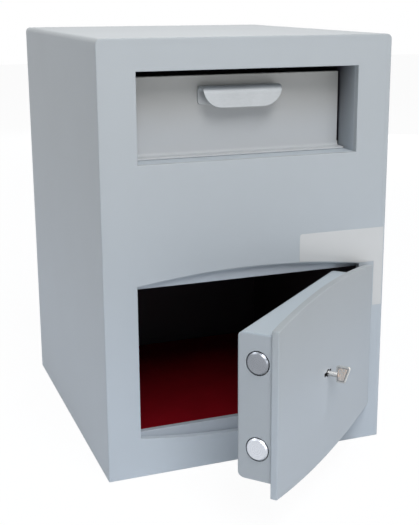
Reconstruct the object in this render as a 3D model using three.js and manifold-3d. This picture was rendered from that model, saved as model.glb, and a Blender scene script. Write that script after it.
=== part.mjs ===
// Drop safe with a deposit drawer: a folded steel cabinet, a drawer with a trap flap that turns as it slides,
// and an arched door with two round bolts worked by a key. Millimetres, +Z up, front towards -Y,
// origin at the middle of the footprint on the floor. The door stands open, the drawer is shut.
import * as THREE from "three";
import { mergeVertices } from "three/addons/utils/BufferGeometryUtils.js";
import Module from "manifold-3d";

const wasm = await Module();
wasm.setup();

// Cabinet
const WIDTH = 350;
const DEPTH = 400;
const HEIGHT = 500;
const CASING_WALL = 4;
const CASING_BEND = 6;
const FRONT_THICKNESS = 8;
const BACK_THICKNESS = 4;
const BASE_THICKNESS = 8;
const CARPET_THICKNESS = 5;
const CARPET_MARGIN = 3;
const ANCHOR_HOLE_RADIUS = 6;
const ANCHOR_MARGIN_X = 75;
const ANCHOR_MARGIN_Y = 90;
const CASING_EDGE_ROUND = 1.2;
const OPENING_EDGE_ROUND = 0.5;

// Clearances shared by all pieces
const SEAT_GAP = 0.3;
const RUNNING_GAP = 0.4;
const OVERRUN = 3;

// Deposit slot and its sleeve
const SLOT_SIDE_MARGIN = 42.5;
const SLOT_TOP_MARGIN = 35;
const SLOT_HEIGHT = 100;
const RECESS_DEPTH = 46;
const SLEEVE_WALL = 2;
const SLEEVE_PAST_PANEL = 7;

// Drawer
const DRAWER_TRAVEL = 150;
const PANEL_THICKNESS = 2;
const PANEL_SIDE_GAP = 2;
const PANEL_FOOT_GAP = 0.4;
const PANEL_TOP_GAP = 9.3;
const PANEL_FLANGE = 6;
const PANEL_EDGE_ROUND = 0.6;
const LIP_DEPTH = 16;
const LIP_BEND = 3;
const LIP_SIDE_GAP = 1;
const TRAY_WALL = 1.2;
const TRAY_EXTRA = 8;
const TRAY_TOP_DROP = 5.7;
const TRAY_TAIL = 6;
const TRAY_CORNER = 22;
const FLOOR_SHEET = 1.5;
const FLOOR_FRONT_RISE = 47;
const FLOOR_FLANGE = 12;

// Handle on the drawer
const HANDLE_SHEET = 2;
const HANDLE_HALF_WIDTH = 48;
const HANDLE_TOP_DROP = 11.2;
const HANDLE_LIP_HEIGHT = 24;
const HANDLE_REACH = 21.5;
const HANDLE_BEND = 8;
const HANDLE_CORNER = 23;
const HANDLE_PLATE_HALF_WIDTH = 48;
const HANDLE_PLATE_HEIGHT = 21.5;
const HANDLE_PLATE_CORNER = 4;

// Trap flap, its rods and bushes
const FLAP_AXIS_RISE = 8;
const FLAP_REACH = 80;
const FLAP_SHEET = 1.5;
const FLAP_SIDE_GAP = 1;
const FLAP_DROP_DEGREES = 70;
const FLAP_TURN_DEGREES = 150;
const ROD_RADIUS = 3;
const CURL_WALL = 2;
const KNUCKLES = 7;
const BUSH_RADIUS = 5;
const BUSH_LENGTH = 4;

// Drawer housing
const TRACK_CLEARANCE = 0.5;
const HOUSING_WALL = 2;
const HOUSING_TAIL = 48;
const HOUSING_DEPTH_BELOW_AXIS = 93;
const HOUSING_FLANGE = 15;
const HOOD_RISE = 2;
const HOOD_SHEET = 2;
const HOOD_FLANGE = 14;
const HOOD_REAR_INSET = 7.5;
const COMB_HEIGHT = 33;
const COMB_TOOTH = 12;
const COMB_TEETH = 13;

// Telescopic runners
const RUNNER_GAP = 13;
const RUNNER_HEIGHT = 16;
const RUNNER_SHEET = 1.2;
const RUNNER_LENGTH = 140;
const RUNNER_RISE = 2.5;
const RUNNER_END_INSET = 2;
const RUNNER_OUTER_DEPTH = 8.2;
const RUNNER_MIDDLE_OFFSET = 3.4;
const RUNNER_MIDDLE_DEPTH = 7;
const RUNNER_INNER_DEPTH = 6.2;

// Door opening and door plate
const OPENING_LOCK_MARGIN = 39;
const OPENING_HINGE_MARGIN = 34;
const OPENING_FOOT = 47.5;
const OPENING_CORNER_HEIGHT = 181.5;
const ARCH_RISE = 10.4;
const DOOR_GAP = 1.5;
const DOOR_HINGE_GAP = 1.8;
const DOOR_EDGE_ROUND = 1;
const DOOR_BEVEL_START = 1.5;
const DOOR_BEVEL_BACK = 5.2;
const DOOR_OPEN_DEGREES = 41.5;

// Door frame behind the front panel
const FRAME_SHEET = 3;
const FRAME_FLANGE = 7;
const FRAME_LEG = 26;
const LINTEL_DROP = 4.6;
const SILL_RISE = 4.8;
const JAMB_DEPTH = 34;
const JAMB_PAST_RAIL = 4;
const KEEPER_WALL = 1.8;
const KEEPER_PROUD = 0.6;
const KEEPER_DEPTH = 6;
const KEEPER_CLEARANCE = 1.2;

// Rear case of the door
const CASE_SHEET = 2;
const CASE_DEPTH = 38;
const CASE_LOCK_INSET = 3.5;
const CASE_HINGE_INSET = 29;
const CASE_TOP_INSET = 6.7;
const CASE_FOOT_INSET = 16.8;
const CASE_ROUND = 8;
const CASE_EDGE_ROUND = 2.5;
const CASE_HOLE_CLEARANCE = 1;

// Hinges
const HINGE_X_FROM_OPENING = 17;
const HINGE_Y_BEHIND_PANEL = 9.5;
const HINGE_PIN_RADIUS = 4;
const HUB_WALL = 2.7;
const ARM_THICKNESS = 6;
const ARM_INNER_RADIUS = 26;
const ARM_OUTER_RADIUS = 36;
const ARM_SPOKE_HALF_WIDTH = 5;
const ARM_SPOKE_DEGREES = 82;
const ARM_END_DEGREES = 206;
const LEAF_THICKNESS = 3;
const LEAF_WIDTH = 19.5;
const LEAF_EDGE_INSET = 1;
const LEAF_HALF_HEIGHT = 18;
const HINGE_TOP_INSET = 24;
const HINGE_FOOT_INSET = 37.5;
const BRACKET_SHEET = 3;
const BRACKET_HALF_HEIGHT = 16;
const BRACKET_FRONT = 5.5;
const BRACKET_REAR = 20.5;
const EAR_THICKNESS = 4;
const EAR_GAP = 0.6;
const PIN_HEAD_RADIUS = 5.5;
const PIN_HEAD_HEIGHT = 2;

// Boltwork
const BOLT_RADIUS = 12;
const BOLT_LENGTH = 70;
const BOLT_CHAMFER = 1.7;
const BOLT_PROUD = 1.8;
const BOLT_THROW = 20;
const BOLT_DEPTH = 15.7;
const BOLT_TOP_INSET = 38.2;
const BOLT_FOOT_INSET = 51.2;
const BOLT_PLATE = 3;
const BOLT_PLATE_FRONT = 24;
const BOLT_PLATE_WIDTH = 38;
const BOLT_PLATE_OVERLAP = 16;
const BOLT_ARM_BELOW = 8;
const BOLT_ARM_ABOVE = 26;
const BOLT_ARM_PAST_PIN = 14;
const GUIDE_LENGTH = 20;
const GUIDE_INSET = 4.5;
const GUIDE_HALF_HEIGHT = 16;

// Lock and key
const KEY_FROM_OPENING_MIDDLE = 4.1;
const KEY_HEIGHT = 139;
const LOCK_HALF_WIDTH = 30;
const LOCK_HALF_HEIGHT = 38;
const LOCK_DEPTH = 22.7;
const BARREL_RADIUS = 8;
const CAM_RADIUS = 19;
const CAM_THICKNESS = 3.8;
const CAM_PIN_RADIUS = 3;
const CAM_PIN_LENGTH = 6;
const CAM_PIN_SIDE_GAP = 0.8;
const CAM_PIN_END_GAP = 1;
const KEYHOLE_HALF_WIDTH = 10.2;
const KEYHOLE_HEIGHT = 4.6;
const KEYHOLE_RADIUS = 4.5;
const KEY_SHAFT_RADIUS = 3;
const KEY_SHAFT_START = 10;
const KEY_SHAFT_LENGTH = 38;
const BOW_THICKNESS = 2.4;
const BOW_LENGTH = 16.5;
const BOW_HEIGHT = 19.4;
const BOW_OFFSET = 1.1;
const BOW_SLANT = 6.5;
const BOW_ROUND = 2.4;

// Numbers of steps in curves
const ARCH_STEPS = 16;
const ROUND_STEPS = 6;
const HANDLE_STEPS = 10;
const EDGE_STEPS = 2;
const ROD_STEPS = 20;
const BOLT_STEPS = 40;
const TRACK_STEPS = 36;

// Places worked out from the dimensions above
const FRONT_Y = -DEPTH / 2;
const PANEL_BACK_Y = FRONT_Y + FRONT_THICKNESS;
const FRAME_Y = PANEL_BACK_Y + SEAT_GAP;
const INNER_X = WIDTH / 2 - CASING_WALL;
const INNER_TOP = HEIGHT - CASING_WALL;
const SLOT_HALF = WIDTH / 2 - SLOT_SIDE_MARGIN;
const SLOT_TOP = HEIGHT - SLOT_TOP_MARGIN;
const SLOT_BOTTOM = SLOT_TOP - SLOT_HEIGHT;
const DRAWER_FACE_Y = FRONT_Y + RECESS_DEPTH;
const DRAWER_BACK_Y = DRAWER_FACE_Y + PANEL_THICKNESS;
const TRAY_FRONT_Y = DRAWER_BACK_Y + SEAT_GAP;
const SLEEVE_REAR_Y = DRAWER_FACE_Y + SLEEVE_PAST_PANEL;
const FLAP_AXIS_Y = DRAWER_BACK_Y + DRAWER_TRAVEL + TRAY_EXTRA;
const FLAP_AXIS_Z = SLOT_BOTTOM + FLAP_AXIS_RISE;
const HOUSING_INNER_X = SLOT_HALF + SEAT_GAP;
const HOUSING_OUTER_X = HOUSING_INNER_X + HOUSING_WALL;
const HOUSING_FRONT_Y = SLEEVE_REAR_Y + SEAT_GAP;
const HOUSING_REAR_Y = FLAP_AXIS_Y + HOUSING_TAIL;
const TRAY_OUTER_X = HOUSING_INNER_X - RUNNER_GAP;
const TRAY_INNER_X = TRAY_OUTER_X - TRAY_WALL;
const TRAY_TOP = SLOT_TOP - PANEL_TOP_GAP - TRAY_TOP_DROP;
const ROD_BORE = ROD_RADIUS + SEAT_GAP;
const CURL_RADIUS = ROD_BORE + CURL_WALL;
const SHEET_START = CURL_RADIUS + 2 * SEAT_GAP + RUNNING_GAP;
const OPENING_LEFT = -WIDTH / 2 + OPENING_LOCK_MARGIN;
const OPENING_RIGHT = WIDTH / 2 - OPENING_HINGE_MARGIN;
const OPENING_MIDDLE = (OPENING_LEFT + OPENING_RIGHT) / 2;
const OPENING_HEAD = OPENING_FOOT + OPENING_CORNER_HEIGHT;
const HINGE_X = OPENING_RIGHT + HINGE_X_FROM_OPENING;
const HINGE_Y = PANEL_BACK_Y + HINGE_Y_BEHIND_PANEL;
const HINGE_LEVELS = { upper: OPENING_HEAD - HINGE_TOP_INSET, lower: OPENING_FOOT + HINGE_FOOT_INSET };
const PLATE_LEFT = OPENING_LEFT + DOOR_GAP;
const PLATE_RIGHT = OPENING_RIGHT - DOOR_HINGE_GAP;
const PLATE_BACK_RIGHT = PLATE_RIGHT - DOOR_BEVEL_BACK;
const LINTEL_Z = OPENING_HEAD - LINTEL_DROP;
const SILL_Z = OPENING_FOOT + SILL_RISE;
const BOLT_Y = PANEL_BACK_Y + BOLT_DEPTH;
const BOLT_LEVELS = { upper: OPENING_HEAD - BOLT_TOP_INSET, lower: OPENING_FOOT + BOLT_FOOT_INSET };
const CASE_LEFT = OPENING_LEFT + CASE_LOCK_INSET;
const CASE_RIGHT = OPENING_RIGHT - CASE_HINGE_INSET;
const CASE_REAR_Y = PANEL_BACK_Y + SEAT_GAP + CASE_DEPTH;
const CASE_TOP = OPENING_HEAD - CASE_TOP_INSET;
const CASE_FOOT = OPENING_FOOT + CASE_FOOT_INSET;
const BOLT_END_X = CASE_LEFT - BOLT_PROUD;
const BOLT_PLATE_Y = BOLT_Y + BOLT_RADIUS + SEAT_GAP;
const BOLT_PLATE_LEFT = CASE_LEFT + BOLT_PLATE_FRONT;
const KEY_X = OPENING_MIDDLE - KEY_FROM_OPENING_MIDDLE;
const LOCK_REAR_Y = FRAME_Y + LOCK_DEPTH;
const CAM_ARM = BOLT_THROW / 2 / Math.sin(Math.PI / 4);

// Finishes
const finish = (color, roughness, metalness) => new THREE.MeshStandardMaterial({ color, roughness, metalness });
const SILVER_PAINT = finish(0xb2babf, 0.45, 0.1);
const DARK_PAINT = finish(0x17181b, 0.7, 0);
const SATIN_SILVER = finish(0xc0c6ca, 0.35, 0.4);
const ZINC = finish(0x9aa0a4, 0.4, 0.9);
const CHROME = finish(0xdfe2e6, 0.12, 1);
const NICKEL = finish(0xc4bcae, 0.3, 0.9);
const NYLON = finish(0xe8e6de, 0.5, 0);
const RED_CARPET = finish(0x6e0a12, 0.95, 0);

// Outlines
const DEGREE = Math.PI / 180;
const point = (across, up) => new THREE.Vector2(across, up);

function arc(middle, radius, from, to, steps) {
  return Array.from({ length: steps + 1 }, (_, i) => {
    const angle = from + ((to - from) * i) / steps;
    return point(middle.x + radius * Math.cos(angle), middle.y + radius * Math.sin(angle));
  });
}

// A closed outline from corners [across, up, radius], in anticlockwise order.
function roundedOutline(corners, steps = ROUND_STEPS) {
  return corners.flatMap(([across, up, radius], i) => {
    if (!radius) return [point(across, up)];
    const here = point(across, up);
    const before = point(...corners.at(i - 1).slice(0, 2)).sub(here).normalize();
    const after = point(...corners[(i + 1) % corners.length].slice(0, 2)).sub(here).normalize();
    const halfAngle = Math.acos(before.dot(after)) / 2;
    const middle = before.clone().add(after).normalize().multiplyScalar(radius / Math.sin(halfAngle)).add(here);
    const reach = radius / Math.tan(halfAngle);
    const start = before.clone().multiplyScalar(reach).add(here).sub(middle);
    const turn = (Math.PI - 2 * halfAngle) * Math.sign(before.cross(after) * -1);
    return arc(middle, radius, start.angle(), start.angle() + turn, steps);
  });
}

const rectangle = (left, right, foot, head, radius = 0) =>
  roundedOutline([[left, foot, radius], [right, foot, radius], [right, head, radius], [left, head, radius]]);

const disc = (middle, radius, steps = ROD_STEPS) => arc(middle, radius, 0, 2 * Math.PI, steps).slice(0, steps);

// The arched opening's outline, moved in by a gap on every side.
function archOutline(left, right, gap) {
  const halfWidth = (OPENING_RIGHT - OPENING_LEFT) / 2;
  const radius = (halfWidth ** 2 + ARCH_RISE ** 2) / (2 * ARCH_RISE);
  const top = point(OPENING_MIDDLE, OPENING_HEAD + ARCH_RISE - radius);
  const foot = point(OPENING_MIDDLE, OPENING_FOOT - ARCH_RISE + radius);
  const angleAt = (x) => Math.acos((x - OPENING_MIDDLE) / (radius - gap));
  return [
    ...arc(top, radius - gap, angleAt(right), angleAt(left), ARCH_STEPS),
    ...arc(foot, radius - gap, -angleAt(left), -angleAt(right), ARCH_STEPS),
  ];
}

// Solids: an outline drawn across one axis and extruded along it
const X = new THREE.Vector3(1, 0, 0);
const Y = new THREE.Vector3(0, 1, 0);
const Z = new THREE.Vector3(0, 0, 1);
const FRAMES = {
  x: new THREE.Matrix4().makeBasis(Y, Z, X),
  y: new THREE.Matrix4().makeBasis(X, Z, Y.clone().negate()),
  z: new THREE.Matrix4(),
};

function prism(axis, outline, low, high, { holes = [], round = 0 } = {}) {
  const shape = new THREE.Shape(outline);
  shape.holes = holes.map((hole) => new THREE.Path(hole));
  const geometry = new THREE.ExtrudeGeometry(shape, {
    depth: high - low - 2 * round,
    bevelEnabled: round > 0,
    bevelThickness: round,
    bevelSize: round,
    bevelOffset: -round,
    bevelSegments: EDGE_STEPS,
  });
  const start = axis === "y" ? -high : low;
  return geometry.translate(0, 0, start + round).applyMatrix4(FRAMES[axis]);
}

function block(x, y, z) {
  const spans = [x, y, z];
  const size = spans.map(([low, high]) => high - low);
  const middle = spans.map(([low, high]) => (low + high) / 2);
  return new THREE.BoxGeometry(...size).translate(...middle);
}

function rod(axis, across, up, radius, low, high, steps = ROD_STEPS) {
  return prism(axis, disc(point(across, up), radius, steps), low, high);
}

function toSolid(geometry) {
  const bare = new THREE.BufferGeometry().setAttribute("position", geometry.getAttribute("position"));
  bare.setIndex(geometry.index);
  const merged = mergeVertices(bare);
  return new wasm.Manifold(
    new wasm.Mesh({
      numProp: 3,
      vertProperties: merged.attributes.position.array,
      triVerts: new Uint32Array(merged.index.array),
    }),
  );
}

function toGeometry(solid) {
  const { vertProperties, triVerts } = solid.getMesh();
  return new THREE.BufferGeometry()
    .setAttribute("position", new THREE.BufferAttribute(vertProperties, 3))
    .setIndex(new THREE.BufferAttribute(triVerts, 1));
}

const join = (...pieces) => toGeometry(pieces.map(toSolid).reduce((all, piece) => all.add(piece)));
const cut = (piece, ...tools) =>
  toGeometry(tools.map(toSolid).reduce((rest, tool) => rest.subtract(tool), toSolid(piece)));
const common = (first, second) => toGeometry(toSolid(first).intersect(toSolid(second)));

// Placing pieces
function add(group, name, geometry, material) {
  const flat = geometry.index ? geometry.toNonIndexed() : geometry;
  flat.computeVertexNormals();
  const mesh = new THREE.Mesh(flat, material);
  mesh.name = name;
  group.add(mesh);
  return mesh;
}

// The same piece on the right and, mirrored, on the left.
function addPair(group, name, geometry, material) {
  add(group, `${name}_right`, geometry, material);
  add(group, `${name}_left`, geometry, material).scale.x = -1;
}

// Cabinet shell
function buildShell(group) {
  const outer = roundedOutline([
    [-WIDTH / 2, -OVERRUN, 0],
    [WIDTH / 2, -OVERRUN, 0],
    [WIDTH / 2, HEIGHT, CASING_BEND],
    [-WIDTH / 2, HEIGHT, CASING_BEND],
  ]);
  const innerBend = CASING_BEND - CASING_WALL;
  const hollow = roundedOutline([
    [-INNER_X, -2 * OVERRUN, 0],
    [INNER_X, -2 * OVERRUN, 0],
    [INNER_X, INNER_TOP, innerBend],
    [-INNER_X, INNER_TOP, innerBend],
  ]);
  const wrap = cut(
    prism("y", outer, FRONT_Y, -FRONT_Y, { round: CASING_EDGE_ROUND }),
    prism("y", hollow, FRONT_Y - OVERRUN, OVERRUN - FRONT_Y),
    block([-WIDTH, WIDTH], [-DEPTH, DEPTH], [-2 * OVERRUN, 0]),
  );
  add(group, "outer_casing", wrap, SILVER_PAINT);

  const insetX = INNER_X - SEAT_GAP;
  const insetTop = INNER_TOP - SEAT_GAP;
  const inset = roundedOutline([
    [-insetX, 0, 0],
    [insetX, 0, 0],
    [insetX, insetTop, innerBend],
    [-insetX, insetTop, innerBend],
  ]);
  const slot = rectangle(-SLOT_HALF, SLOT_HALF, SLOT_BOTTOM, SLOT_TOP);
  const arch = archOutline(OPENING_LEFT, OPENING_RIGHT, 0);
  const blank = rectangle(-WIDTH / 2, WIDTH / 2, -OVERRUN, HEIGHT);
  const front = common(
    prism("y", blank, FRONT_Y, PANEL_BACK_Y, { holes: [slot, arch], round: OPENING_EDGE_ROUND }),
    prism("y", inset, FRONT_Y - OVERRUN, PANEL_BACK_Y + OVERRUN),
  );
  add(group, "front_panel", front, SILVER_PAINT);
  add(group, "back_panel", prism("y", inset, -FRONT_Y - BACK_THICKNESS, -FRONT_Y), SILVER_PAINT);

  const rearY = -FRONT_Y - BACK_THICKNESS - SEAT_GAP;
  const anchorX = WIDTH / 2 - ANCHOR_MARGIN_X;
  const anchorY = DEPTH / 2 - ANCHOR_MARGIN_Y;
  const anchors = [-anchorX, anchorX].flatMap((x) =>
    [-anchorY, anchorY].map((y) => disc(point(x, y), ANCHOR_HOLE_RADIUS)),
  );
  const footprint = rectangle(-insetX, insetX, FRAME_Y, rearY);
  add(group, "base_plate", prism("z", footprint, 0, BASE_THICKNESS, { holes: anchors }), DARK_PAINT);

  const carpetX = insetX - CARPET_MARGIN;
  const carpetFront = FRAME_Y + FRAME_SHEET + CARPET_MARGIN;
  const carpetFoot = BASE_THICKNESS + SEAT_GAP;
  const carpet = block(
    [-carpetX, carpetX],
    [carpetFront, rearY - CARPET_MARGIN],
    [carpetFoot, carpetFoot + CARPET_THICKNESS],
  );
  add(group, "floor_carpet", carpet, RED_CARPET);
}

// Frame behind the door opening: straight lintel and sill, and a jamb that receives the bolts
function buildDoorFrame(group) {
  const head = LINTEL_Z + FRAME_LEG + JAMB_PAST_RAIL;
  const foot = SILL_Z - FRAME_LEG - JAMB_PAST_RAIL;
  const legBack = FRAME_Y + FRAME_SHEET;
  const webLeft = OPENING_LEFT - FRAME_SHEET;
  const jamb = [
    point(OPENING_LEFT - FRAME_LEG, FRAME_Y),
    point(OPENING_LEFT, FRAME_Y),
    point(OPENING_LEFT, FRAME_Y + JAMB_DEPTH),
    point(webLeft, FRAME_Y + JAMB_DEPTH),
    point(webLeft, legBack),
    point(OPENING_LEFT - FRAME_LEG, legBack),
  ];
  const rail = (edge, side) => [
    point(FRAME_Y, edge),
    point(FRAME_Y, edge + side * FRAME_LEG),
    point(legBack, edge + side * FRAME_LEG),
    point(legBack, edge + side * FRAME_SHEET),
    point(FRAME_Y + FRAME_FLANGE, edge + side * FRAME_SHEET),
    point(FRAME_Y + FRAME_FLANGE, edge),
  ];
  const keeperOut = KEEPER_CLEARANCE + BOLT_RADIUS + KEEPER_WALL;
  const keeperX = [webLeft - KEEPER_DEPTH, OPENING_LEFT + KEEPER_PROUD];
  const levels = Object.values(BOLT_LEVELS);
  const body = join(
    prism("z", jamb, foot, head),
    prism("x", rail(LINTEL_Z, 1).reverse(), OPENING_LEFT - FRAME_SHEET / 2, OPENING_RIGHT),
    prism("x", rail(SILL_Z, -1), OPENING_LEFT - FRAME_SHEET / 2, OPENING_RIGHT),
    ...levels.map((z) => rod("x", BOLT_Y, z, keeperOut, ...keeperX, BOLT_STEPS)),
  );
  const bores = levels.map((z) =>
    rod("x", BOLT_Y, z, BOLT_RADIUS + KEEPER_CLEARANCE, keeperX[0] - OVERRUN, keeperX[1] + OVERRUN, BOLT_STEPS),
  );
  add(group, "door_frame", cut(body, ...bores), SILVER_PAINT);
}

// Brackets on the casing's right wall that carry the hinge pins
function buildHingeBrackets(group) {
  const wallX = INNER_X - SEAT_GAP;
  const earRadius = HINGE_PIN_RADIUS + SEAT_GAP + HUB_WALL;
  const earStart = ARM_THICKNESS / 2 + EAR_GAP;
  for (const [level, z] of Object.entries(HINGE_LEVELS)) {
    const ears = [1, -1].flatMap((side) => {
      const faces = [z + side * earStart, z + side * (earStart + EAR_THICKNESS)].sort((a, b) => a - b);
      return [
        block([HINGE_X, wallX], [HINGE_Y - BRACKET_FRONT, HINGE_Y + earRadius], faces),
        rod("z", HINGE_X, HINGE_Y, earRadius, ...faces),
      ];
    });
    const plate = block(
      [wallX - BRACKET_SHEET, wallX],
      [HINGE_Y - BRACKET_FRONT, HINGE_Y + BRACKET_REAR],
      [z - BRACKET_HALF_HEIGHT, z + BRACKET_HALF_HEIGHT],
    );
    const bore = rod(
      "z",
      HINGE_X,
      HINGE_Y,
      HINGE_PIN_RADIUS + SEAT_GAP,
      z - BRACKET_HALF_HEIGHT,
      z + BRACKET_HALF_HEIGHT,
    );
    add(group, `hinge_bracket_${level}`, cut(join(plate, ...ears), bore), DARK_PAINT);

    const pinTop = z + earStart + EAR_THICKNESS + SEAT_GAP;
    const pin = join(
      rod("z", HINGE_X, HINGE_Y, HINGE_PIN_RADIUS, z - earStart - EAR_THICKNESS, pinTop + SEAT_GAP),
      rod("z", HINGE_X, HINGE_Y, PIN_HEAD_RADIUS, pinTop, pinTop + PIN_HEAD_HEIGHT),
    );
    add(group, `hinge_pin_${level}`, pin, ZINC);
  }
}

// Where the flap's cam rod is, in the cabinet, when the drawer is out by a share of its travel
function camRodPlace(share) {
  const angle = (share * FLAP_TURN_DEGREES - FLAP_DROP_DEGREES) * DEGREE;
  return point(
    FLAP_AXIS_Y - share * DRAWER_TRAVEL + FLAP_REACH * Math.cos(angle),
    FLAP_AXIS_Z + FLAP_REACH * Math.sin(angle),
  );
}

// The curved track that the cam rod follows: a slot with round ends, drawn about the rod's path
function camTrack() {
  const path = Array.from({ length: TRACK_STEPS + 1 }, (_, i) => camRodPlace(i / TRACK_STEPS));
  const halfWidth = BUSH_RADIUS + TRACK_CLEARANCE;
  const headings = path.map((_, i) => {
    const before = path[Math.max(i - 1, 0)];
    const after = path[Math.min(i + 1, TRACK_STEPS)];
    return after.clone().sub(before).angle();
  });
  const right = path.map((middle, i) => sideOf(middle, headings[i], -halfWidth));
  const left = path.map((middle, i) => sideOf(middle, headings[i], halfWidth)).reverse();
  const last = path[TRACK_STEPS];
  const end = headings[TRACK_STEPS];
  const start = headings[0];
  return [
    ...right,
    ...arc(last, halfWidth, end - Math.PI / 2, end + Math.PI / 2, 2 * ROUND_STEPS).slice(1, -1),
    ...left,
    ...arc(path[0], halfWidth, start + Math.PI / 2, start + 1.5 * Math.PI, 2 * ROUND_STEPS).slice(1, -1),
  ];
}

function sideOf(middle, heading, offset) {
  return point(middle.x - offset * Math.sin(heading), middle.y + offset * Math.cos(heading));
}

// Sleeve of the slot, housing sides with the cam tracks, hood and comb
function buildDrawerHousing(group) {
  const slot = rectangle(-SLOT_HALF, SLOT_HALF, SLOT_BOTTOM, SLOT_TOP);
  const sleeveX = SLOT_HALF + SLEEVE_WALL;
  const sleeve = rectangle(-sleeveX, sleeveX, SLOT_BOTTOM - SLEEVE_WALL, SLOT_TOP + SLEEVE_WALL);
  add(group, "slot_sleeve", prism("y", sleeve, FRAME_Y, SLEEVE_REAR_Y, { holes: [slot] }), SILVER_PAINT);

  const top = INNER_TOP - SEAT_GAP;
  const foot = FLAP_AXIS_Z - HOUSING_DEPTH_BELOW_AXIS;
  const frontFoot = SLOT_BOTTOM - HOUSING_FLANGE;
  const side = [
    point(HOUSING_FRONT_Y, frontFoot),
    point(FLAP_AXIS_Y, foot),
    point(HOUSING_REAR_Y, foot),
    point(HOUSING_REAR_Y, top),
    point(HOUSING_FRONT_Y, top),
  ];
  const web = prism("x", side, HOUSING_INNER_X, HOUSING_OUTER_X, { holes: [camTrack()] });
  const flange = block(
    [HOUSING_INNER_X, HOUSING_OUTER_X + HOUSING_FLANGE],
    [HOUSING_FRONT_Y, HOUSING_REAR_Y],
    [top - HOUSING_WALL, top],
  );
  addPair(group, "housing_side", join(web, flange), DARK_PAINT);

  const hoodX = HOUSING_INNER_X - SEAT_GAP;
  const hoodFoot = SLOT_TOP + SLEEVE_WALL + HOOD_RISE;
  const hoodRear = HOUSING_REAR_Y - HOOD_REAR_INSET;
  const hood = join(
    block([-hoodX, hoodX], [HOUSING_FRONT_Y, hoodRear], [hoodFoot, hoodFoot + HOOD_SHEET]),
    block([-hoodX, hoodX], [hoodRear - HOOD_SHEET, hoodRear], [hoodFoot - HOOD_FLANGE, hoodFoot + HOOD_SHEET]),
  );
  add(group, "drawer_hood", hood, DARK_PAINT);

  const combX = hoodX - SEAT_GAP;
  const combHead = hoodFoot + HOOD_SHEET;
  const combRoot = combHead - COMB_HEIGHT + COMB_TOOTH;
  const pitch = (2 * combX) / COMB_TEETH;
  const teeth = Array.from({ length: COMB_TEETH }, (_, i) => [
    point(-combX + i * pitch, combRoot),
    point(-combX + (i + 0.5) * pitch, combRoot - COMB_TOOTH),
  ]).flat();
  const comb = [...teeth, point(combX, combRoot), point(combX, combHead), point(-combX, combHead)];
  const combY = hoodRear + SEAT_GAP;
  add(group, "anti_fish_comb", prism("y", comb, combY, combY + HOOD_SHEET), DARK_PAINT);
}

// One member of a runner: a channel whose web stands at one side and whose flanges point to the other
function runnerMember(webX, webSide, tipX, halfHeight, front, rear) {
  const middle = SLOT_BOTTOM + RUNNER_RISE + RUNNER_HEIGHT / 2;
  const inner = halfHeight - RUNNER_SHEET;
  const webInner = webX + webSide * RUNNER_SHEET;
  const outline = [
    point(webX, middle - halfHeight),
    point(tipX, middle - halfHeight),
    point(tipX, middle - inner),
    point(webInner, middle - inner),
    point(webInner, middle + inner),
    point(tipX, middle + inner),
    point(tipX, middle + halfHeight),
    point(webX, middle + halfHeight),
  ];
  return prism("y", webSide > 0 ? outline : outline.reverse(), front, rear);
}

function buildRunners(cabinet, telescope, drawer) {
  const front = HOUSING_FRONT_Y + SLEEVE_WALL + SEAT_GAP;
  const rear = front + RUNNER_LENGTH;
  const insideFront = front + RUNNER_END_INSET;
  const insideRear = rear - RUNNER_END_INSET;
  const nest = RUNNER_SHEET + RUNNING_GAP;
  const outerWeb = HOUSING_INNER_X - SEAT_GAP;
  const innerWeb = TRAY_OUTER_X + SEAT_GAP;
  const outerTip = outerWeb - RUNNER_OUTER_DEPTH;
  const middleWeb = outerWeb - RUNNER_MIDDLE_OFFSET;
  const middleTip = middleWeb - RUNNER_MIDDLE_DEPTH;
  const innerTip = innerWeb + RUNNER_INNER_DEPTH;
  const half = RUNNER_HEIGHT / 2;
  addPair(cabinet, "runner_outer", runnerMember(outerWeb, -1, outerTip, half, front, rear), ZINC);
  addPair(
    telescope,
    "runner_middle",
    runnerMember(middleWeb, -1, middleTip, half - nest, insideFront, insideRear),
    ZINC,
  );
  addPair(
    drawer,
    "runner_inner",
    runnerMember(innerWeb, 1, innerTip, half - 2 * nest, insideFront, insideRear),
    ZINC,
  );
}

// Drawer front panel with its folded edges and the lip at its foot
function buildDrawerFront(group) {
  const halfWidth = SLOT_HALF - PANEL_SIDE_GAP;
  const foot = SLOT_BOTTOM + PANEL_FOOT_GAP;
  const head = SLOT_TOP - PANEL_TOP_GAP;
  const lipTop = foot + PANEL_THICKNESS;
  const lipX = SLOT_HALF - LIP_SIDE_GAP;
  const lip = roundedOutline([
    [DRAWER_FACE_Y - LIP_DEPTH, foot, 0],
    [DRAWER_BACK_Y, foot, LIP_BEND + PANEL_THICKNESS],
    [DRAWER_BACK_Y, lipTop + LIP_BEND + PANEL_THICKNESS, 0],
    [DRAWER_FACE_Y, lipTop + LIP_BEND + PANEL_THICKNESS, 0],
    [DRAWER_FACE_Y, lipTop, LIP_BEND],
    [DRAWER_FACE_Y - LIP_DEPTH, lipTop, 0],
  ]);
  const face = prism(
    "y",
    rectangle(-halfWidth, halfWidth, lipTop + LIP_BEND, head),
    DRAWER_FACE_Y,
    DRAWER_BACK_Y,
    { round: PANEL_EDGE_ROUND },
  );
  const flangeY = [DRAWER_BACK_Y - PANEL_THICKNESS / 2, DRAWER_BACK_Y + PANEL_FLANGE];
  const flangeZ = [lipTop + LIP_BEND, head];
  const panel = join(
    face,
    prism("x", lip, -lipX, lipX),
    block([-halfWidth, PANEL_THICKNESS - halfWidth], flangeY, flangeZ),
    block([halfWidth - PANEL_THICKNESS, halfWidth], flangeY, flangeZ),
    block([-halfWidth, halfWidth], flangeY, [head - PANEL_THICKNESS, head]),
  );
  add(group, "drawer_front", panel, SILVER_PAINT);
}

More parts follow.
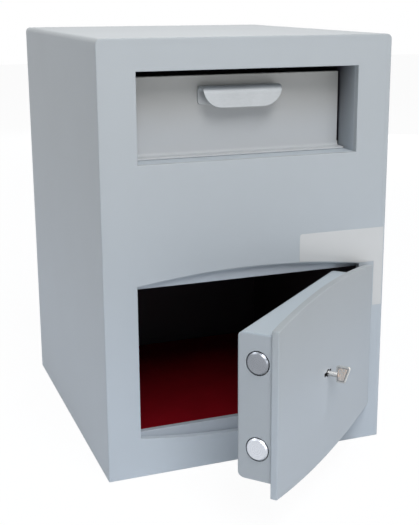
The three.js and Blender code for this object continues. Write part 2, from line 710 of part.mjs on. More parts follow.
// Handle: a strip bent over twice, with its hanging lip and its foot plate cut to their outlines
function buildHandle(group) {
  const head = SLOT_TOP - PANEL_TOP_GAP - HANDLE_TOP_DROP;
  const seatY = DRAWER_FACE_Y - SEAT_GAP;
  const frontY = seatY - HANDLE_REACH;
  const foot = head - HANDLE_LIP_HEIGHT;
  const outer = roundedOutline([
    [frontY, foot - OVERRUN, 0],
    [seatY, foot - OVERRUN, 0],
    [seatY, head, HANDLE_BEND],
    [frontY, head, HANDLE_BEND],
  ]);
  const innerBend = HANDLE_BEND - HANDLE_SHEET;
  const hollow = roundedOutline([
    [frontY + HANDLE_SHEET, foot - 2 * OVERRUN, 0],
    [seatY - HANDLE_SHEET, foot - 2 * OVERRUN, 0],
    [seatY - HANDLE_SHEET, head - HANDLE_SHEET, innerBend],
    [frontY + HANDLE_SHEET, head - HANDLE_SHEET, innerBend],
  ]);
  const strip = cut(
    prism("x", outer, -HANDLE_HALF_WIDTH, HANDLE_HALF_WIDTH),
    prism("x", hollow, -HANDLE_HALF_WIDTH - OVERRUN, HANDLE_HALF_WIDTH + OVERRUN),
  );
  const plateHead = head + OVERRUN;
  const lip = roundedOutline(
    [
      [-HANDLE_HALF_WIDTH, foot, HANDLE_CORNER],
      [HANDLE_HALF_WIDTH, foot, HANDLE_CORNER],
      [HANDLE_HALF_WIDTH, plateHead, 0],
      [-HANDLE_HALF_WIDTH, plateHead, 0],
    ],
    HANDLE_STEPS,
  );
  const plateFoot = head - HANDLE_PLATE_HEIGHT;
  const plate = roundedOutline([
    [-HANDLE_PLATE_HALF_WIDTH, plateFoot, HANDLE_PLATE_CORNER],
    [HANDLE_PLATE_HALF_WIDTH, plateFoot, HANDLE_PLATE_CORNER],
    [HANDLE_PLATE_HALF_WIDTH, plateHead, 0],
    [-HANDLE_PLATE_HALF_WIDTH, plateHead, 0],
  ]);
  const middleY = seatY - HANDLE_REACH / 2;
  const outlines = join(
    prism("y", lip, frontY - OVERRUN, middleY),
    prism("y", plate, middleY - SEAT_GAP, seatY + OVERRUN),
  );
  add(group, "drawer_handle", common(strip, outlines), SATIN_SILVER);
}

// Tray: two sides, and a floor that slopes down to the trap's hinge
function buildTray(group) {
  const head = TRAY_TOP;
  const foot = FLAP_AXIS_Z - 2 * ROD_RADIUS;
  const rear = FLAP_AXIS_Y + TRAY_TAIL;
  const side = roundedOutline([
    [TRAY_FRONT_Y, foot, 0],
    [rear, foot, TRAY_TAIL],
    [rear, head, TRAY_CORNER],
    [TRAY_FRONT_Y, head, 0],
  ]);
  const bore = disc(point(FLAP_AXIS_Y, FLAP_AXIS_Z), ROD_BORE);
  addPair(group, "drawer_side", prism("x", side, TRAY_INNER_X, TRAY_OUTER_X, { holes: [bore] }), ZINC);

  const frontTop = FLAP_AXIS_Z + FLOOR_FRONT_RISE - FLAP_AXIS_RISE;
  const rise = Math.atan2(frontTop - FLAP_AXIS_Z, FLAP_AXIS_Y - TRAY_FRONT_Y);
  const run = (FLAP_AXIS_Y - TRAY_FRONT_Y) / Math.cos(rise);
  const slope = Math.PI - rise;
  const halfX = TRAY_INNER_X - SEAT_GAP;
  const sheet = common(
    sheetFromAxis(slope, SHEET_START, run + OVERRUN, FLOOR_SHEET, [-halfX, halfX]),
    block([-halfX, halfX], [TRAY_FRONT_Y, FLAP_AXIS_Y], [foot, head]),
  );
  const flange = block(
    [-halfX, halfX],
    [TRAY_FRONT_Y, TRAY_FRONT_Y + FLOOR_SHEET],
    [frontTop - FLOOR_FLANGE, frontTop],
  );
  const curls = hingeCurls(slope, halfX, 0, FLOOR_SHEET);
  add(group, "drawer_floor", cut(join(sheet, flange, ...curls), hingeBore(halfX)), ZINC);
  const rodEnd = TRAY_OUTER_X + SEAT_GAP;
  add(group, "flap_hinge_rod", rod("x", FLAP_AXIS_Y, FLAP_AXIS_Z, ROD_RADIUS, -rodEnd, rodEnd), ZINC);
}

// A flat sheet that points away from the flap's axis at an angle, between two distances from it
function sheetFromAxis(angle, near, far, thickness, x) {
  const along = point(Math.cos(angle), Math.sin(angle));
  const across = point(-along.y, along.x).multiplyScalar(thickness / 2);
  const axis = point(FLAP_AXIS_Y, FLAP_AXIS_Z);
  const at = (distance, side) =>
    along.clone().multiplyScalar(distance).add(axis).add(across.clone().multiplyScalar(side));
  return prism("x", [at(near, -1), at(far, -1), at(far, 1), at(near, 1)], ...x);
}

// Every second knuckle along the hinge, each with a tab that joins it to its sheet
function hingeCurls(angle, halfX, first, thickness) {
  const length = (2 * halfX) / KNUCKLES;
  const curls = [];
  for (let i = first; i < KNUCKLES; i += 2) {
    const x = [-halfX + i * length + RUNNING_GAP, -halfX + (i + 1) * length - RUNNING_GAP];
    curls.push(rod("x", FLAP_AXIS_Y, FLAP_AXIS_Z, CURL_RADIUS, ...x));
    curls.push(sheetFromAxis(angle, ROD_BORE, SHEET_START + CURL_WALL, thickness, x));
  }
  return curls;
}

const hingeBore = (halfX) =>
  rod("x", FLAP_AXIS_Y, FLAP_AXIS_Z, ROD_BORE, -halfX - OVERRUN, halfX + OVERRUN);

// Trap flap with its curled end, the cam rod through it and the bushes that run in the tracks
function buildFlap(group) {
  const angle = -FLAP_DROP_DEGREES * DEGREE;
  const halfX = TRAY_INNER_X - FLAP_SIDE_GAP;
  const cam = camRodPlace(0);
  const hingeX = TRAY_INNER_X - SEAT_GAP;
  const body = join(
    sheetFromAxis(angle, SHEET_START, FLAP_REACH, FLAP_SHEET, [-halfX, halfX]),
    ...hingeCurls(angle, hingeX, 1, FLAP_SHEET),
    rod("x", cam.x, cam.y, CURL_RADIUS, -halfX, halfX),
  );
  const camBore = rod("x", cam.x, cam.y, ROD_BORE, -halfX - OVERRUN, halfX + OVERRUN);
  add(group, "trap_flap", cut(body, hingeBore(halfX), camBore), ZINC);

  const bushInner = HOUSING_INNER_X + HOUSING_WALL / 2 - BUSH_LENGTH / 2;
  const bushOuter = bushInner + BUSH_LENGTH;
  add(group, "flap_cam_rod", rod("x", cam.x, cam.y, ROD_RADIUS, -bushOuter, bushOuter), ZINC);
  const ring = disc(cam, BUSH_RADIUS);
  const bush = prism("x", ring, bushInner, bushOuter, { holes: [disc(cam, ROD_BORE)] });
  addPair(group, "glide_bush", bush, NYLON);
}

// Door plate with its bevelled hinge edge and the keyhole, and the folded case on its back
function buildDoorShells(group) {
  const plate = prism("y", archOutline(PLATE_LEFT, PLATE_RIGHT, DOOR_GAP), FRONT_Y, PANEL_BACK_Y, {
    round: DOOR_EDGE_ROUND,
  });
  const bevelStart = FRONT_Y + DOOR_BEVEL_START;
  const slant = DOOR_BEVEL_BACK / (PANEL_BACK_Y - bevelStart);
  const wedge = prism(
    "z",
    [
      point(PLATE_RIGHT, bevelStart),
      point(PLATE_RIGHT + OVERRUN, bevelStart),
      point(PLATE_RIGHT + OVERRUN, PANEL_BACK_Y + OVERRUN),
      point(PLATE_BACK_RIGHT - slant * OVERRUN, PANEL_BACK_Y + OVERRUN),
    ],
    OPENING_FOOT - 2 * ARCH_RISE,
    OPENING_HEAD + 2 * ARCH_RISE,
  );
  const cutY = [FRONT_Y - OVERRUN, PANEL_BACK_Y + OVERRUN];
  const keyhole = block(
    [KEY_X - KEYHOLE_HALF_WIDTH, KEY_X + KEYHOLE_HALF_WIDTH],
    cutY,
    [KEY_HEIGHT - KEYHOLE_HEIGHT / 2, KEY_HEIGHT + KEYHOLE_HEIGHT / 2],
  );
  const roundHole = rod("y", KEY_X, KEY_HEIGHT, KEYHOLE_RADIUS, ...cutY);
  add(group, "door_plate", cut(plate, wedge, keyhole, roundHole), SILVER_PAINT);

  const profile = (inset, front) =>
    roundedOutline([
      [front, CASE_FOOT + inset, 0],
      [CASE_REAR_Y - inset, CASE_FOOT + inset, CASE_ROUND - inset],
      [CASE_REAR_Y - inset, CASE_TOP - inset, CASE_ROUND - inset],
      [front, CASE_TOP - inset, 0],
    ]);
  const plan = (inset, front) =>
    roundedOutline([
      [CASE_LEFT + inset, front, 0],
      [CASE_RIGHT - inset, front, 0],
      [CASE_RIGHT - inset, CASE_REAR_Y - inset, CASE_EDGE_ROUND],
      [CASE_LEFT + inset, CASE_REAR_Y - inset, CASE_EDGE_ROUND],
    ]);
  const shell = (inset, front) =>
    common(
      prism("x", profile(inset, front), CASE_LEFT + inset, CASE_RIGHT - inset),
      prism("z", plan(inset, front), CASE_FOOT + inset, CASE_TOP - inset),
    );
  const holes = Object.values(BOLT_LEVELS).map((z) =>
    rod(
      "x",
      BOLT_Y,
      z,
      BOLT_RADIUS + CASE_HOLE_CLEARANCE,
      CASE_LEFT - OVERRUN,
      CASE_LEFT + CASE_SHEET + OVERRUN,
      BOLT_STEPS,
    ),
  );
  const pan = cut(shell(0, FRAME_Y), shell(CASE_SHEET, FRAME_Y - OVERRUN), ...holes);
  add(group, "door_rear_case", pan, SILVER_PAINT);
}

// Cranked arms that reach from the door's back round the front panel's edge to the pins
function buildHingeArms(group) {
  const axis = point(HINGE_X, HINGE_Y);
  const spoke = ARM_SPOKE_DEGREES * DEGREE;
  const end = ARM_END_DEGREES * DEGREE;
  const ring = [
    ...arc(axis, ARM_OUTER_RADIUS, spoke, end, ARCH_STEPS),
    ...arc(axis, ARM_INNER_RADIUS, end, spoke, ARCH_STEPS),
  ];
  const along = point(Math.cos(spoke), Math.sin(spoke));
  const across = point(-along.y, along.x).multiplyScalar(ARM_SPOKE_HALF_WIDTH);
  const far = along.clone().multiplyScalar(ARM_OUTER_RADIUS).add(axis);
  const bar = [
    axis.clone().sub(across),
    far.clone().sub(across),
    far.clone().add(across),
    axis.clone().add(across),
  ];
  const hub = HINGE_PIN_RADIUS + SEAT_GAP + HUB_WALL;
  const leafRight = PLATE_BACK_RIGHT - LEAF_EDGE_INSET;
  for (const [level, z] of Object.entries(HINGE_LEVELS)) {
    const faces = [z - ARM_THICKNESS / 2, z + ARM_THICKNESS / 2];
    const leaf = block(
      [leafRight - LEAF_WIDTH, leafRight],
      [FRAME_Y, FRAME_Y + LEAF_THICKNESS],
      [z - LEAF_HALF_HEIGHT, z + LEAF_HALF_HEIGHT],
    );
    const body = join(
      prism("z", ring, ...faces),
      prism("z", bar, ...faces),
      rod("z", HINGE_X, HINGE_Y, hub, ...faces),
      leaf,
    );
    const beyondPlate = block(
      [HINGE_X - 2 * ARM_OUTER_RADIUS, HINGE_X + ARM_OUTER_RADIUS],
      [FRONT_Y - ARM_OUTER_RADIUS, FRAME_Y],
      [z - LEAF_HALF_HEIGHT - OVERRUN, z + LEAF_HALF_HEIGHT + OVERRUN],
    );
    const bore = rod("z", HINGE_X, HINGE_Y, HINGE_PIN_RADIUS + SEAT_GAP, faces[0] - OVERRUN, faces[1] + OVERRUN);
    add(group, `hinge_arm_${level}`, cut(body, beyondPlate, bore), DARK_PAINT);
  }
}

// Lock case with the barrel's bore, and the saddles that guide the bolts
function buildDoorInside(group) {
  const lock = cut(
    block(
      [KEY_X - LOCK_HALF_WIDTH, KEY_X + LOCK_HALF_WIDTH],
      [FRAME_Y, LOCK_REAR_Y],
      [KEY_HEIGHT - LOCK_HALF_HEIGHT, KEY_HEIGHT + LOCK_HALF_HEIGHT],
    ),
    rod("y", KEY_X, KEY_HEIGHT, BARREL_RADIUS + SEAT_GAP, FRAME_Y - OVERRUN, LOCK_REAR_Y + OVERRUN),
  );
  add(group, "lock_case", lock, ZINC);

  const guideX = [CASE_LEFT + GUIDE_INSET, CASE_LEFT + GUIDE_INSET + GUIDE_LENGTH];
  for (const [level, z] of Object.entries(BOLT_LEVELS)) {
    const saddle = cut(
      block(guideX, [FRAME_Y, BOLT_Y], [z - GUIDE_HALF_HEIGHT, z + GUIDE_HALF_HEIGHT]),
      rod("x", BOLT_Y, z, BOLT_RADIUS + SEAT_GAP, guideX[0] - OVERRUN, guideX[1] + OVERRUN, BOLT_STEPS),
    );
    add(group, `bolt_guide_${level}`, saddle, ZINC);
  }
}

// The two round bolts and the plate that moves them together
function buildBoltwork(group) {
  for (const [level, z] of Object.entries(BOLT_LEVELS)) {
    const profile = [
      point(0, 0),
      point(BOLT_RADIUS - BOLT_CHAMFER, 0),
      point(BOLT_RADIUS, BOLT_CHAMFER),
      point(BOLT_RADIUS, BOLT_LENGTH),
      point(0, BOLT_LENGTH),
    ];
    const bolt = new THREE.LatheGeometry(profile, BOLT_STEPS);
    bolt.rotateZ(-Math.PI / 2).translate(BOLT_END_X, BOLT_Y, z);
    add(group, `bolt_${level}`, bolt, CHROME);
  }

  const pinX = KEY_X + BOLT_THROW / 2;
  const pinLow = KEY_HEIGHT + BOLT_THROW / 2;
  const pinHigh = KEY_HEIGHT + CAM_ARM;
  const plateRight = BOLT_PLATE_LEFT + BOLT_PLATE_WIDTH;
  const armRight = pinX + BOLT_ARM_PAST_PIN;
  const slotHalf = CAM_PIN_RADIUS + CAM_PIN_SIDE_GAP;
  const outline = [
    point(BOLT_PLATE_LEFT, BOLT_LEVELS.lower - BOLT_PLATE_OVERLAP),
    point(plateRight, BOLT_LEVELS.lower - BOLT_PLATE_OVERLAP),
    point(plateRight, KEY_HEIGHT - BOLT_ARM_BELOW),
    point(armRight, KEY_HEIGHT - BOLT_ARM_BELOW),
    point(armRight, KEY_HEIGHT + BOLT_ARM_ABOVE),
    point(plateRight, KEY_HEIGHT + BOLT_ARM_ABOVE),
    point(plateRight, BOLT_LEVELS.upper + BOLT_PLATE_OVERLAP),
    point(BOLT_PLATE_LEFT, BOLT_LEVELS.upper + BOLT_PLATE_OVERLAP),
  ];
  const slot = rectangle(
    pinX - slotHalf,
    pinX + slotHalf,
    pinLow - CAM_PIN_RADIUS - CAM_PIN_END_GAP,
    pinHigh + CAM_PIN_RADIUS + CAM_PIN_END_GAP,
  );
  const plate = prism("y", outline, BOLT_PLATE_Y, BOLT_PLATE_Y + BOLT_PLATE, { holes: [slot] });
  add(group, "bolt_plate", plate, ZINC);
}

// Key, the barrel that it turns and the cam that drives the bolt plate
function buildKey(group) {
  const camFront = LOCK_REAR_Y + 2 * SEAT_GAP;
  const camRear = camFront + CAM_THICKNESS;
  const bore = rod("y", KEY_X, KEY_HEIGHT, KEY_SHAFT_RADIUS + SEAT_GAP, FRONT_Y, LOCK_REAR_Y + OVERRUN);
  const barrel = rod("y", KEY_X, KEY_HEIGHT, BARREL_RADIUS, FRAME_Y + SEAT_GAP, camFront - SEAT_GAP);
  add(group, "lock_barrel", cut(barrel, bore), NICKEL);

  const pinX = KEY_X + BOLT_THROW / 2;
  const pinZ = KEY_HEIGHT + BOLT_THROW / 2;
  const cam = join(
    rod("y", KEY_X, KEY_HEIGHT, CAM_RADIUS, camFront, camRear),
    rod("y", pinX, pinZ, CAM_PIN_RADIUS, camFront, camRear + CAM_PIN_LENGTH),
  );
  add(group, "lock_cam", cam, ZINC);

  const bowInner = FRONT_Y - KEY_SHAFT_START;
  const bowOuter = bowInner - BOW_LENGTH;
  const bowFoot = KEY_HEIGHT + BOW_OFFSET - BOW_HEIGHT / 2;
  const bowHead = bowFoot + BOW_HEIGHT;
  const bow = roundedOutline([
    [bowOuter + BOW_SLANT, bowFoot, BOW_ROUND],
    [bowInner, bowFoot, BOW_ROUND],
    [bowInner, bowHead, BOW_ROUND],
    [bowOuter, bowHead, BOW_ROUND],
  ]);
  const shaft = rod(
    "y",
    KEY_X,
    KEY_HEIGHT,
    KEY_SHAFT_RADIUS,
    bowInner - BOW_ROUND,
    bowInner + KEY_SHAFT_LENGTH,
  );
  const key = join(prism("x", bow, KEY_X - BOW_THICKNESS / 2, KEY_X + BOW_THICKNESS / 2), shaft);
  add(group, "key", key, NICKEL);
}

// Assembly: the door's pieces are drawn shut and turned together about the hinge pins
function assemble() {
  const safe = new THREE.Group();
  const swing = new THREE.Group();
  swing.position.set(HINGE_X, HINGE_Y, 0);
  swing.rotation.z = DOOR_OPEN_DEGREES * DEGREE;
  const door = new THREE.Group();
  door.position.set(-HINGE_X, -HINGE_Y, 0);
  swing.add(door);
  const drawer = new THREE.Group();
  const telescope = new THREE.Group();
  safe.add(swing, drawer, telescope);

  buildShell(safe);
  buildDoorFrame(safe);
  buildHingeBrackets(safe);
  buildDrawerHousing(safe);
  buildRunners(safe, telescope, drawer);
  buildDrawerFront(drawer);
  buildHandle(drawer);
  buildTray(drawer);
  buildFlap(drawer);
  buildDoorShells(door);
  buildHingeArms(door);
  buildDoorInside(door);
  buildBoltwork(door);
  buildKey(door);
  return safe;
}

export default assemble();
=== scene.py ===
import math

import bmesh
import bpy
from mathutils import Matrix, Vector


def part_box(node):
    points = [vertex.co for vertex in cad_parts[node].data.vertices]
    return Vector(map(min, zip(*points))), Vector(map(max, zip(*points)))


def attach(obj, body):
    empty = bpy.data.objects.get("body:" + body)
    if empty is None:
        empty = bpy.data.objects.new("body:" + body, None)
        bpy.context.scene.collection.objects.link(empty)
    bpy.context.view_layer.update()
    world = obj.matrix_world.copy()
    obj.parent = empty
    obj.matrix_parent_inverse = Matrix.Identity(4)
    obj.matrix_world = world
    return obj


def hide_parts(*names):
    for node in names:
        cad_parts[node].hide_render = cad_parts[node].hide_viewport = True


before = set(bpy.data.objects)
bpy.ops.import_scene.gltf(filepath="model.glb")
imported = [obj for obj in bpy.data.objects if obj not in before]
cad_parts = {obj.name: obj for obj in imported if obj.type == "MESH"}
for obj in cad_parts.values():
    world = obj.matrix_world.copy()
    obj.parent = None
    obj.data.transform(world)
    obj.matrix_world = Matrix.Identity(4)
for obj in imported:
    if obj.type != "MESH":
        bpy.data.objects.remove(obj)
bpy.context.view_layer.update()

# Camera, worked out from the photograph's perspective
CAMERA_PLACE = (-0.421631, -1.207206, 0.542663)
CAMERA_AZIMUTH = math.radians(-21.236)
CAMERA_ELEVATION = math.radians(13.905)
CAMERA_ROLL = math.radians(-0.069)
CAMERA_LENS = 67.36
CAMERA_SHIFT = (-0.0325, -0.0451)

# Floor and world: they light the safe with a pale tone, but are seen and mirrored as plain white
FLOOR_HALF = 7.0
FLOOR_DROP = 0.0006
FLOOR_ROUGHNESS = 0.9
FLOOR_TONE = (0.87, 0.92, 0.99)
FLOOR_WHITE = 1.02
FLOOR_WHITE_SHARE = 0.94
WORLD_TINT = (0.90, 0.95, 1.0)
WORLD_LEVEL = 0.03
WORLD_WHITE = 1.0

# Area lamps: place, size, power in watts and colour of each
WHITE = (1.0, 1.0, 1.0)
LAMP_AIM = Vector((0.0, 0.0, 0.22))
LAMPS = {
    "key_lamp": ((-0.2, -2.2, 2.2), (1.3, 1.2), 34, WHITE),
    "high_front_lamp": ((0.1, -1.3, 2.7), (0.9, 0.9), 24, WHITE),
    "low_front_lamp": ((-0.1, -2.6, 0.4), (2.4, 0.6), 8, (0.96, 0.98, 1.0)),
    "low_left_lamp": ((-2.4, 0.3, 0.15), (1.8, 0.2), 1.5, (0.85, 0.93, 1.0)),
    "left_rear_lamp": ((-1.8, 0.9, 2.4), (1.4, 1.4), 15, (0.96, 0.98, 1.0)),
    "right_rear_lamp": ((0.9, 2.4, 2.5), (1.4, 1.4), 13, (0.94, 0.97, 1.0)),
    "low_rear_lamp": ((1.3, 2.4, 0.22), (1.8, 0.4), 18, (0.97, 0.98, 1.0)),
}

# Tones of the silver paint, linear: high up, low down, and the heights between which they change; the
# change between them is painted light and shade
# SILVER: painted light from the floor, lighter and bluer towards the foot of the cabinet
SILVER = {"high": (0.470, 0.502, 0.524), "low": (0.495, 0.548, 0.602), "foot": 0.05, "head": 0.45}
# FRAME_SILVER: painted shade on the sill, darker at the foot, and painted light on the jambs above it
FRAME_SILVER = {"high": (0.545, 0.595, 0.650), "low": (0.398, 0.438, 0.490), "foot": 0.055, "head": 0.10}
# DOOR_SILVER: painted light from the floor, lighter and bluer on the door's lower part
DOOR_SILVER = {"high": (0.432, 0.464, 0.486), "low": (0.490, 0.540, 0.590), "foot": 0.11, "head": 0.25}
# CASE_SILVER: painted light on the case's top face, lighter and bluer than its sides
CASE_SILVER = {"high": (0.515, 0.578, 0.628), "low": (0.438, 0.475, 0.508), "foot": 0.219, "head": 0.222}
# DRAWER_SILVER: painted shadow from the recess's head, darker and warmer at the top, and painted light,
# lighter and bluer towards the foot
DRAWER_SILVER = {"high": (0.490, 0.478, 0.450), "low": (0.520, 0.540, 0.560), "foot": 0.375, "head": 0.455}
# SLEEVE_SILVER: painted shade under the recess's head, darker and less blue higher up on its walls
SLEEVE_SILVER = {"high": (0.480, 0.515, 0.540), "low": (0.500, 0.555, 0.605), "foot": 0.36, "head": 0.47}

# Colours of the other finishes, linear
# Black paint inside the cabinet, also painted shade in the drawer's recess and the keyhole
BLACK_PAINT_AND_SHADE = (0.036, 0.034, 0.041)
HANDLE_STEEL = (0.450, 0.470, 0.487)
ZINC = (0.520, 0.530, 0.535)
# The bolts' steel: the upper copy painted darker as shade, the lower one lighter as painted light
UPPER_BOLT_SHADED_STEEL = (0.281, 0.299, 0.331)
LOWER_BOLT_LIT_STEEL = (0.640, 0.670, 0.730)
# Oiled steel of the lock's barrel, also painted shade on the bolts' round sides
OILED_STEEL_AND_SHADE = (0.070, 0.072, 0.078)
NICKEL = (0.940, 0.905, 0.860)
KEY_BEIGE = (0.930, 0.740, 0.610)
# KEY_SHADE: painted shade on the key's underside and in the fine line of its bow
KEY_SHADE = (0.300, 0.290, 0.280)
NYLON = (0.760, 0.740, 0.670)
CARPET_RED = (0.270, 0.004, 0.011)
LABEL_SILVER = (0.620, 0.630, 0.635)

# Drift of each finish's tone: the size of its clouds and the share by which they are darker or lighter
DRIFTS = {
    "coat": {"Size": 0.12, "Share": 0.03},
    "black": {"Size": 0.05, "Share": 0.2},
    "sheet": {"Size": 0.03, "Share": 0.10},
    "bolt": {"Size": 0.012, "Share": 0.10},
    "key": {"Size": 0.02, "Share": 0.04},
    "nylon": {"Size": 0.01, "Share": 0.06},
    "felt": {"Size": 0.04, "Share": 0.2},
    "label": {"Size": 0.05, "Share": 0.02},
}

# Skin of each coat: the size and depth of its pits, and how far its edges are rounded
SKINS = {
    "coat": {"Grain": 0.0009, "Depth": 0.00002, "Edge": 0.0009},
    "seam": {"Grain": 0.0009, "Depth": 0.00002, "Edge": 0.0},
    "black": {"Grain": 0.0012, "Depth": 0.00004, "Edge": 0.0006},
    "nylon": {"Grain": 0.0006, "Depth": 0.00001, "Edge": 0.0004},
    "label": {"Grain": 0.003, "Depth": 0.00001, "Edge": 0.0002},
}

# Lines of each bare metal: how many there are to a metre along each axis, and the range of the roughness
BRUSHINGS = {
    "handle": {"Stretch": (200, 900, 900), "Rough_Low": 0.52, "Rough_High": 0.62},
    "zinc": {"Stretch": (60, 900, 900), "Rough_Low": 0.28, "Rough_High": 0.42},
    "barrel": {"Stretch": (900, 900, 900), "Rough_Low": 0.28, "Rough_High": 0.42},
    "key": {"Stretch": (900, 900, 900), "Rough_Low": 0.16, "Rough_High": 0.30},
}

# Edges: the turn of the normal at which an edge starts and is complete, as cosines, and the painted
# highlight along them
EDGE_COSINES = (0.98, 0.80)
EDGE_SAMPLES = 6
EDGE_HIGHLIGHT_GAIN = 1.3
EDGE_HIGHLIGHT_SHARE = 0.6

# Parts of a noise's range that are spread over the whole range
NOISE_MIDDLE = (0.3, 0.7)
SPOT_MIDDLE = (0.35, 0.65)

# Key: its painted shade by how far a face looks up or down, darker where it looks down, and the height of
# its stamped field
UNDERSIDE_SHADE_SLOPES = (0.4, -0.9)
UNDERSIDE_SHADE_SHARE = 0.75
KEY_RELIEF = 0.0003

# Black paint and painted shade: the sheets that bound them, the shade's depth in the drawer's recess and
# how it fades there
CASING_WALL = 0.004
SLEEVE_WALL = 0.002
INSIDE_MARGIN = 0.0002
RECESS_SHADE_MARGIN = 0.0003
RECESS_SHADE_DEPTH = 0.0375
RECESS_SHADE_CURVE = 0.5
RECESS_SHADE_FADING = -0.5

# The door's turn about its hinge axis, as the photograph shows it, and places on the shut door
DOOR_OPEN = math.radians(41.5)
HINGE_AXIS = (0.158, -0.1825)
BOW_CENTRE = (-0.0016, -0.21825, 0.1401)
KEYHOLE_CENTRE = (-0.0016, -0.2, 0.139)


def box_middle(name):
    low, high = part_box(name)
    return (low + high) / 2


def door_direction(x, y):
    """The direction on the open door that points along (x, y) when it is shut."""
    cos, sin = math.cos(DOOR_OPEN), math.sin(DOOR_OPEN)
    return Vector((cos * x - sin * y, sin * x + cos * y, 0.0))


def on_door(x, y, z):
    """The place on the open door of a point that is at (x, y, z) when it is shut."""
    return Vector((*HINGE_AXIS, z)) + door_direction(x - HINGE_AXIS[0], y - HINGE_AXIS[1])


# Shader nodes
def node(tree, kind, settings=None, numbered=None, **named):
    """Adds a shader node and fills its sockets, by number or by name with _ for a space.

    A socket gets a constant, or a link where the value is another node's socket.
    """
    made = tree.nodes.new("ShaderNode" + kind)
    for name, value in (settings or {}).items():
        setattr(made, name, value)
    sockets = dict(numbered or {})
    sockets.update((name.replace("_", " "), value) for name, value in named.items())
    for key, value in sockets.items():
        if isinstance(value, bpy.types.NodeSocket):
            tree.links.new(value, made.inputs[key])
        else:
            made.inputs[key].default_value = value
    return made


def connect(tree, target, **sockets):
    """Links sockets to a node's inputs, named with _ for a space."""
    for name, socket in sockets.items():
        tree.links.new(socket, target.inputs[name.replace("_", " ")])


def math_node(tree, operation, *values, clamp=False):
    settings = {"operation": operation, "use_clamp": clamp}
    return node(tree, "Math", settings, dict(enumerate(values))).outputs["Value"]


def share_node(tree, operation, *values):
    """The result of a Math node, kept from 0 to 1."""
    return math_node(tree, operation, *values, clamp=True)


def vector_node(tree, operation, *values, **named):
    """The result of a vector operation: a number for a dot product or a length, else a vector."""
    made = node(tree, "VectorMath", {"operation": operation}, dict(enumerate(values)), **named)
    return made.outputs["Value" if operation in ("DOT_PRODUCT", "LENGTH") else "Vector"]


def map_range(tree, value, source, target=(0.0, 1.0), **settings):
    """Maps a value from one range to another and keeps it there."""
    made = node(tree, "MapRange", settings, Value=value, From_Min=source[0], From_Max=source[1],
                To_Min=target[0], To_Max=target[1])
    return made.outputs["Result"]


def within(tree, value, limit):
    """1 where a value is between the limit and its negative, else 0."""
    return math_node(tree, "LESS_THAN", math_node(tree, "ABSOLUTE", value), limit)


def object_place(tree):
    return node(tree, "TexCoord").outputs["Object"]


def axes(tree, vector):
    return node(tree, "SeparateXYZ", Vector=vector).outputs


def noise(tree, size, **settings):
    """Noise over the object, with lumps of about the given size."""
    scale = math_node(tree, "DIVIDE", 1.0, size)
    return node(tree, "TexNoise", Vector=object_place(tree), Scale=scale, **settings).outputs["Fac"]


def rounded_normal(tree, radius):
    return node(tree, "Bevel", {"samples": EDGE_SAMPLES}, Radius=radius).outputs["Normal"]


def bump(tree, height, depth, strength=1.0, **named):
    """The normal of a surface with a relief of the given depth."""
    return node(tree, "Bump", Strength=strength, Distance=depth, Height=height, **named).outputs["Normal"]


# A Mix node repeats its sockets' names, so the ones for colours go by number
MIX_SHARE, MIX_FIRST, MIX_SECOND, MIX_RESULT = 0, 6, 7, 2


def mix_color(tree, share, first, second):
    sockets = {MIX_SHARE: share, MIX_FIRST: first, MIX_SECOND: second}
    return node(tree, "Mix", {"data_type": "RGBA"}, sockets).outputs[MIX_RESULT]


def mix_shader(tree, share, first, second):
    sockets = {0: share, 1: first.outputs[0], 2: second.outputs[0]}
    return node(tree, "MixShader", None, sockets).outputs[0]


def opaque(color):
    return (*color, 1.0)


# Effects: node groups that the materials share
def effect(name, inputs, outputs):
    """An empty node group with its sockets; returns the group, its input sockets and its output node.

    An input has a label and a kind, and a value too where no material sets it.
    """
    group = bpy.data.node_groups.new(name, "ShaderNodeTree")
    for label, kind, *value in inputs:
        socket = group.interface.new_socket(name=label, in_out="INPUT", socket_type="NodeSocket" + kind)
        if value:
            socket.default_value = value[0]
    for label, kind in outputs:
        group.interface.new_socket(name=label, in_out="OUTPUT", socket_type="NodeSocket" + kind)
    return group, group.nodes.new("NodeGroupInput").outputs, group.nodes.new("NodeGroupOutput")


def build_tone_drift():
    """A colour that gets slightly darker and lighter in soft clouds."""
    group, given, out = effect(
        "tone_drift",
        [("Color", "Color"), ("Size", "Float"), ("Share", "Float")],
        [("Color", "Color")],
    )
    swing = math_node(group, "MULTIPLY_ADD", noise(group, given["Size"], Detail=3.0), 2.0, -1.0)
    factor = math_node(group, "MULTIPLY_ADD", swing, given["Share"], 1.0)
    connect(group, out, Color=vector_node(group, "SCALE", given["Color"], Scale=factor))
    return group


def build_coat_grain():
    """The fine pitted skin of a coat on edges that are a little round, and a mask of those edges for a
    painted highlight.
    """
    group, given, out = effect(
        "coat_grain",
        [("Grain", "Float"), ("Depth", "Float"), ("Edge", "Float")],
        [("Normal", "Vector"), ("Edge", "Float")],
    )
    rounded = rounded_normal(group, given["Edge"])
    pitted = bump(group, noise(group, given["Grain"], Detail=2.0), given["Depth"], Normal=rounded)
    flat = node(group, "NewGeometry").outputs["Normal"]
    edge = map_range(group, vector_node(group, "DOT_PRODUCT", rounded, flat), EDGE_COSINES)
    connect(group, out, Normal=pitted, Edge=edge)
    return group


def build_height_painted_shading():
    """One colour high up and another low down, with a smooth change between two heights, for painted light
    and shade.
    """
    group, given, out = effect(
        "height_painted_shading",
        [("High", "Color"), ("Low", "Color"), ("Foot", "Float"), ("Head", "Float")],
        [("Color", "Color")],
    )
    height = axes(group, object_place(group))["Z"]
    rise = map_range(group, height, (given["Foot"], given["Head"]), interpolation_type="SMOOTHSTEP")
    connect(group, out, Color=mix_color(group, rise, given["Low"], given["High"]))
    return group


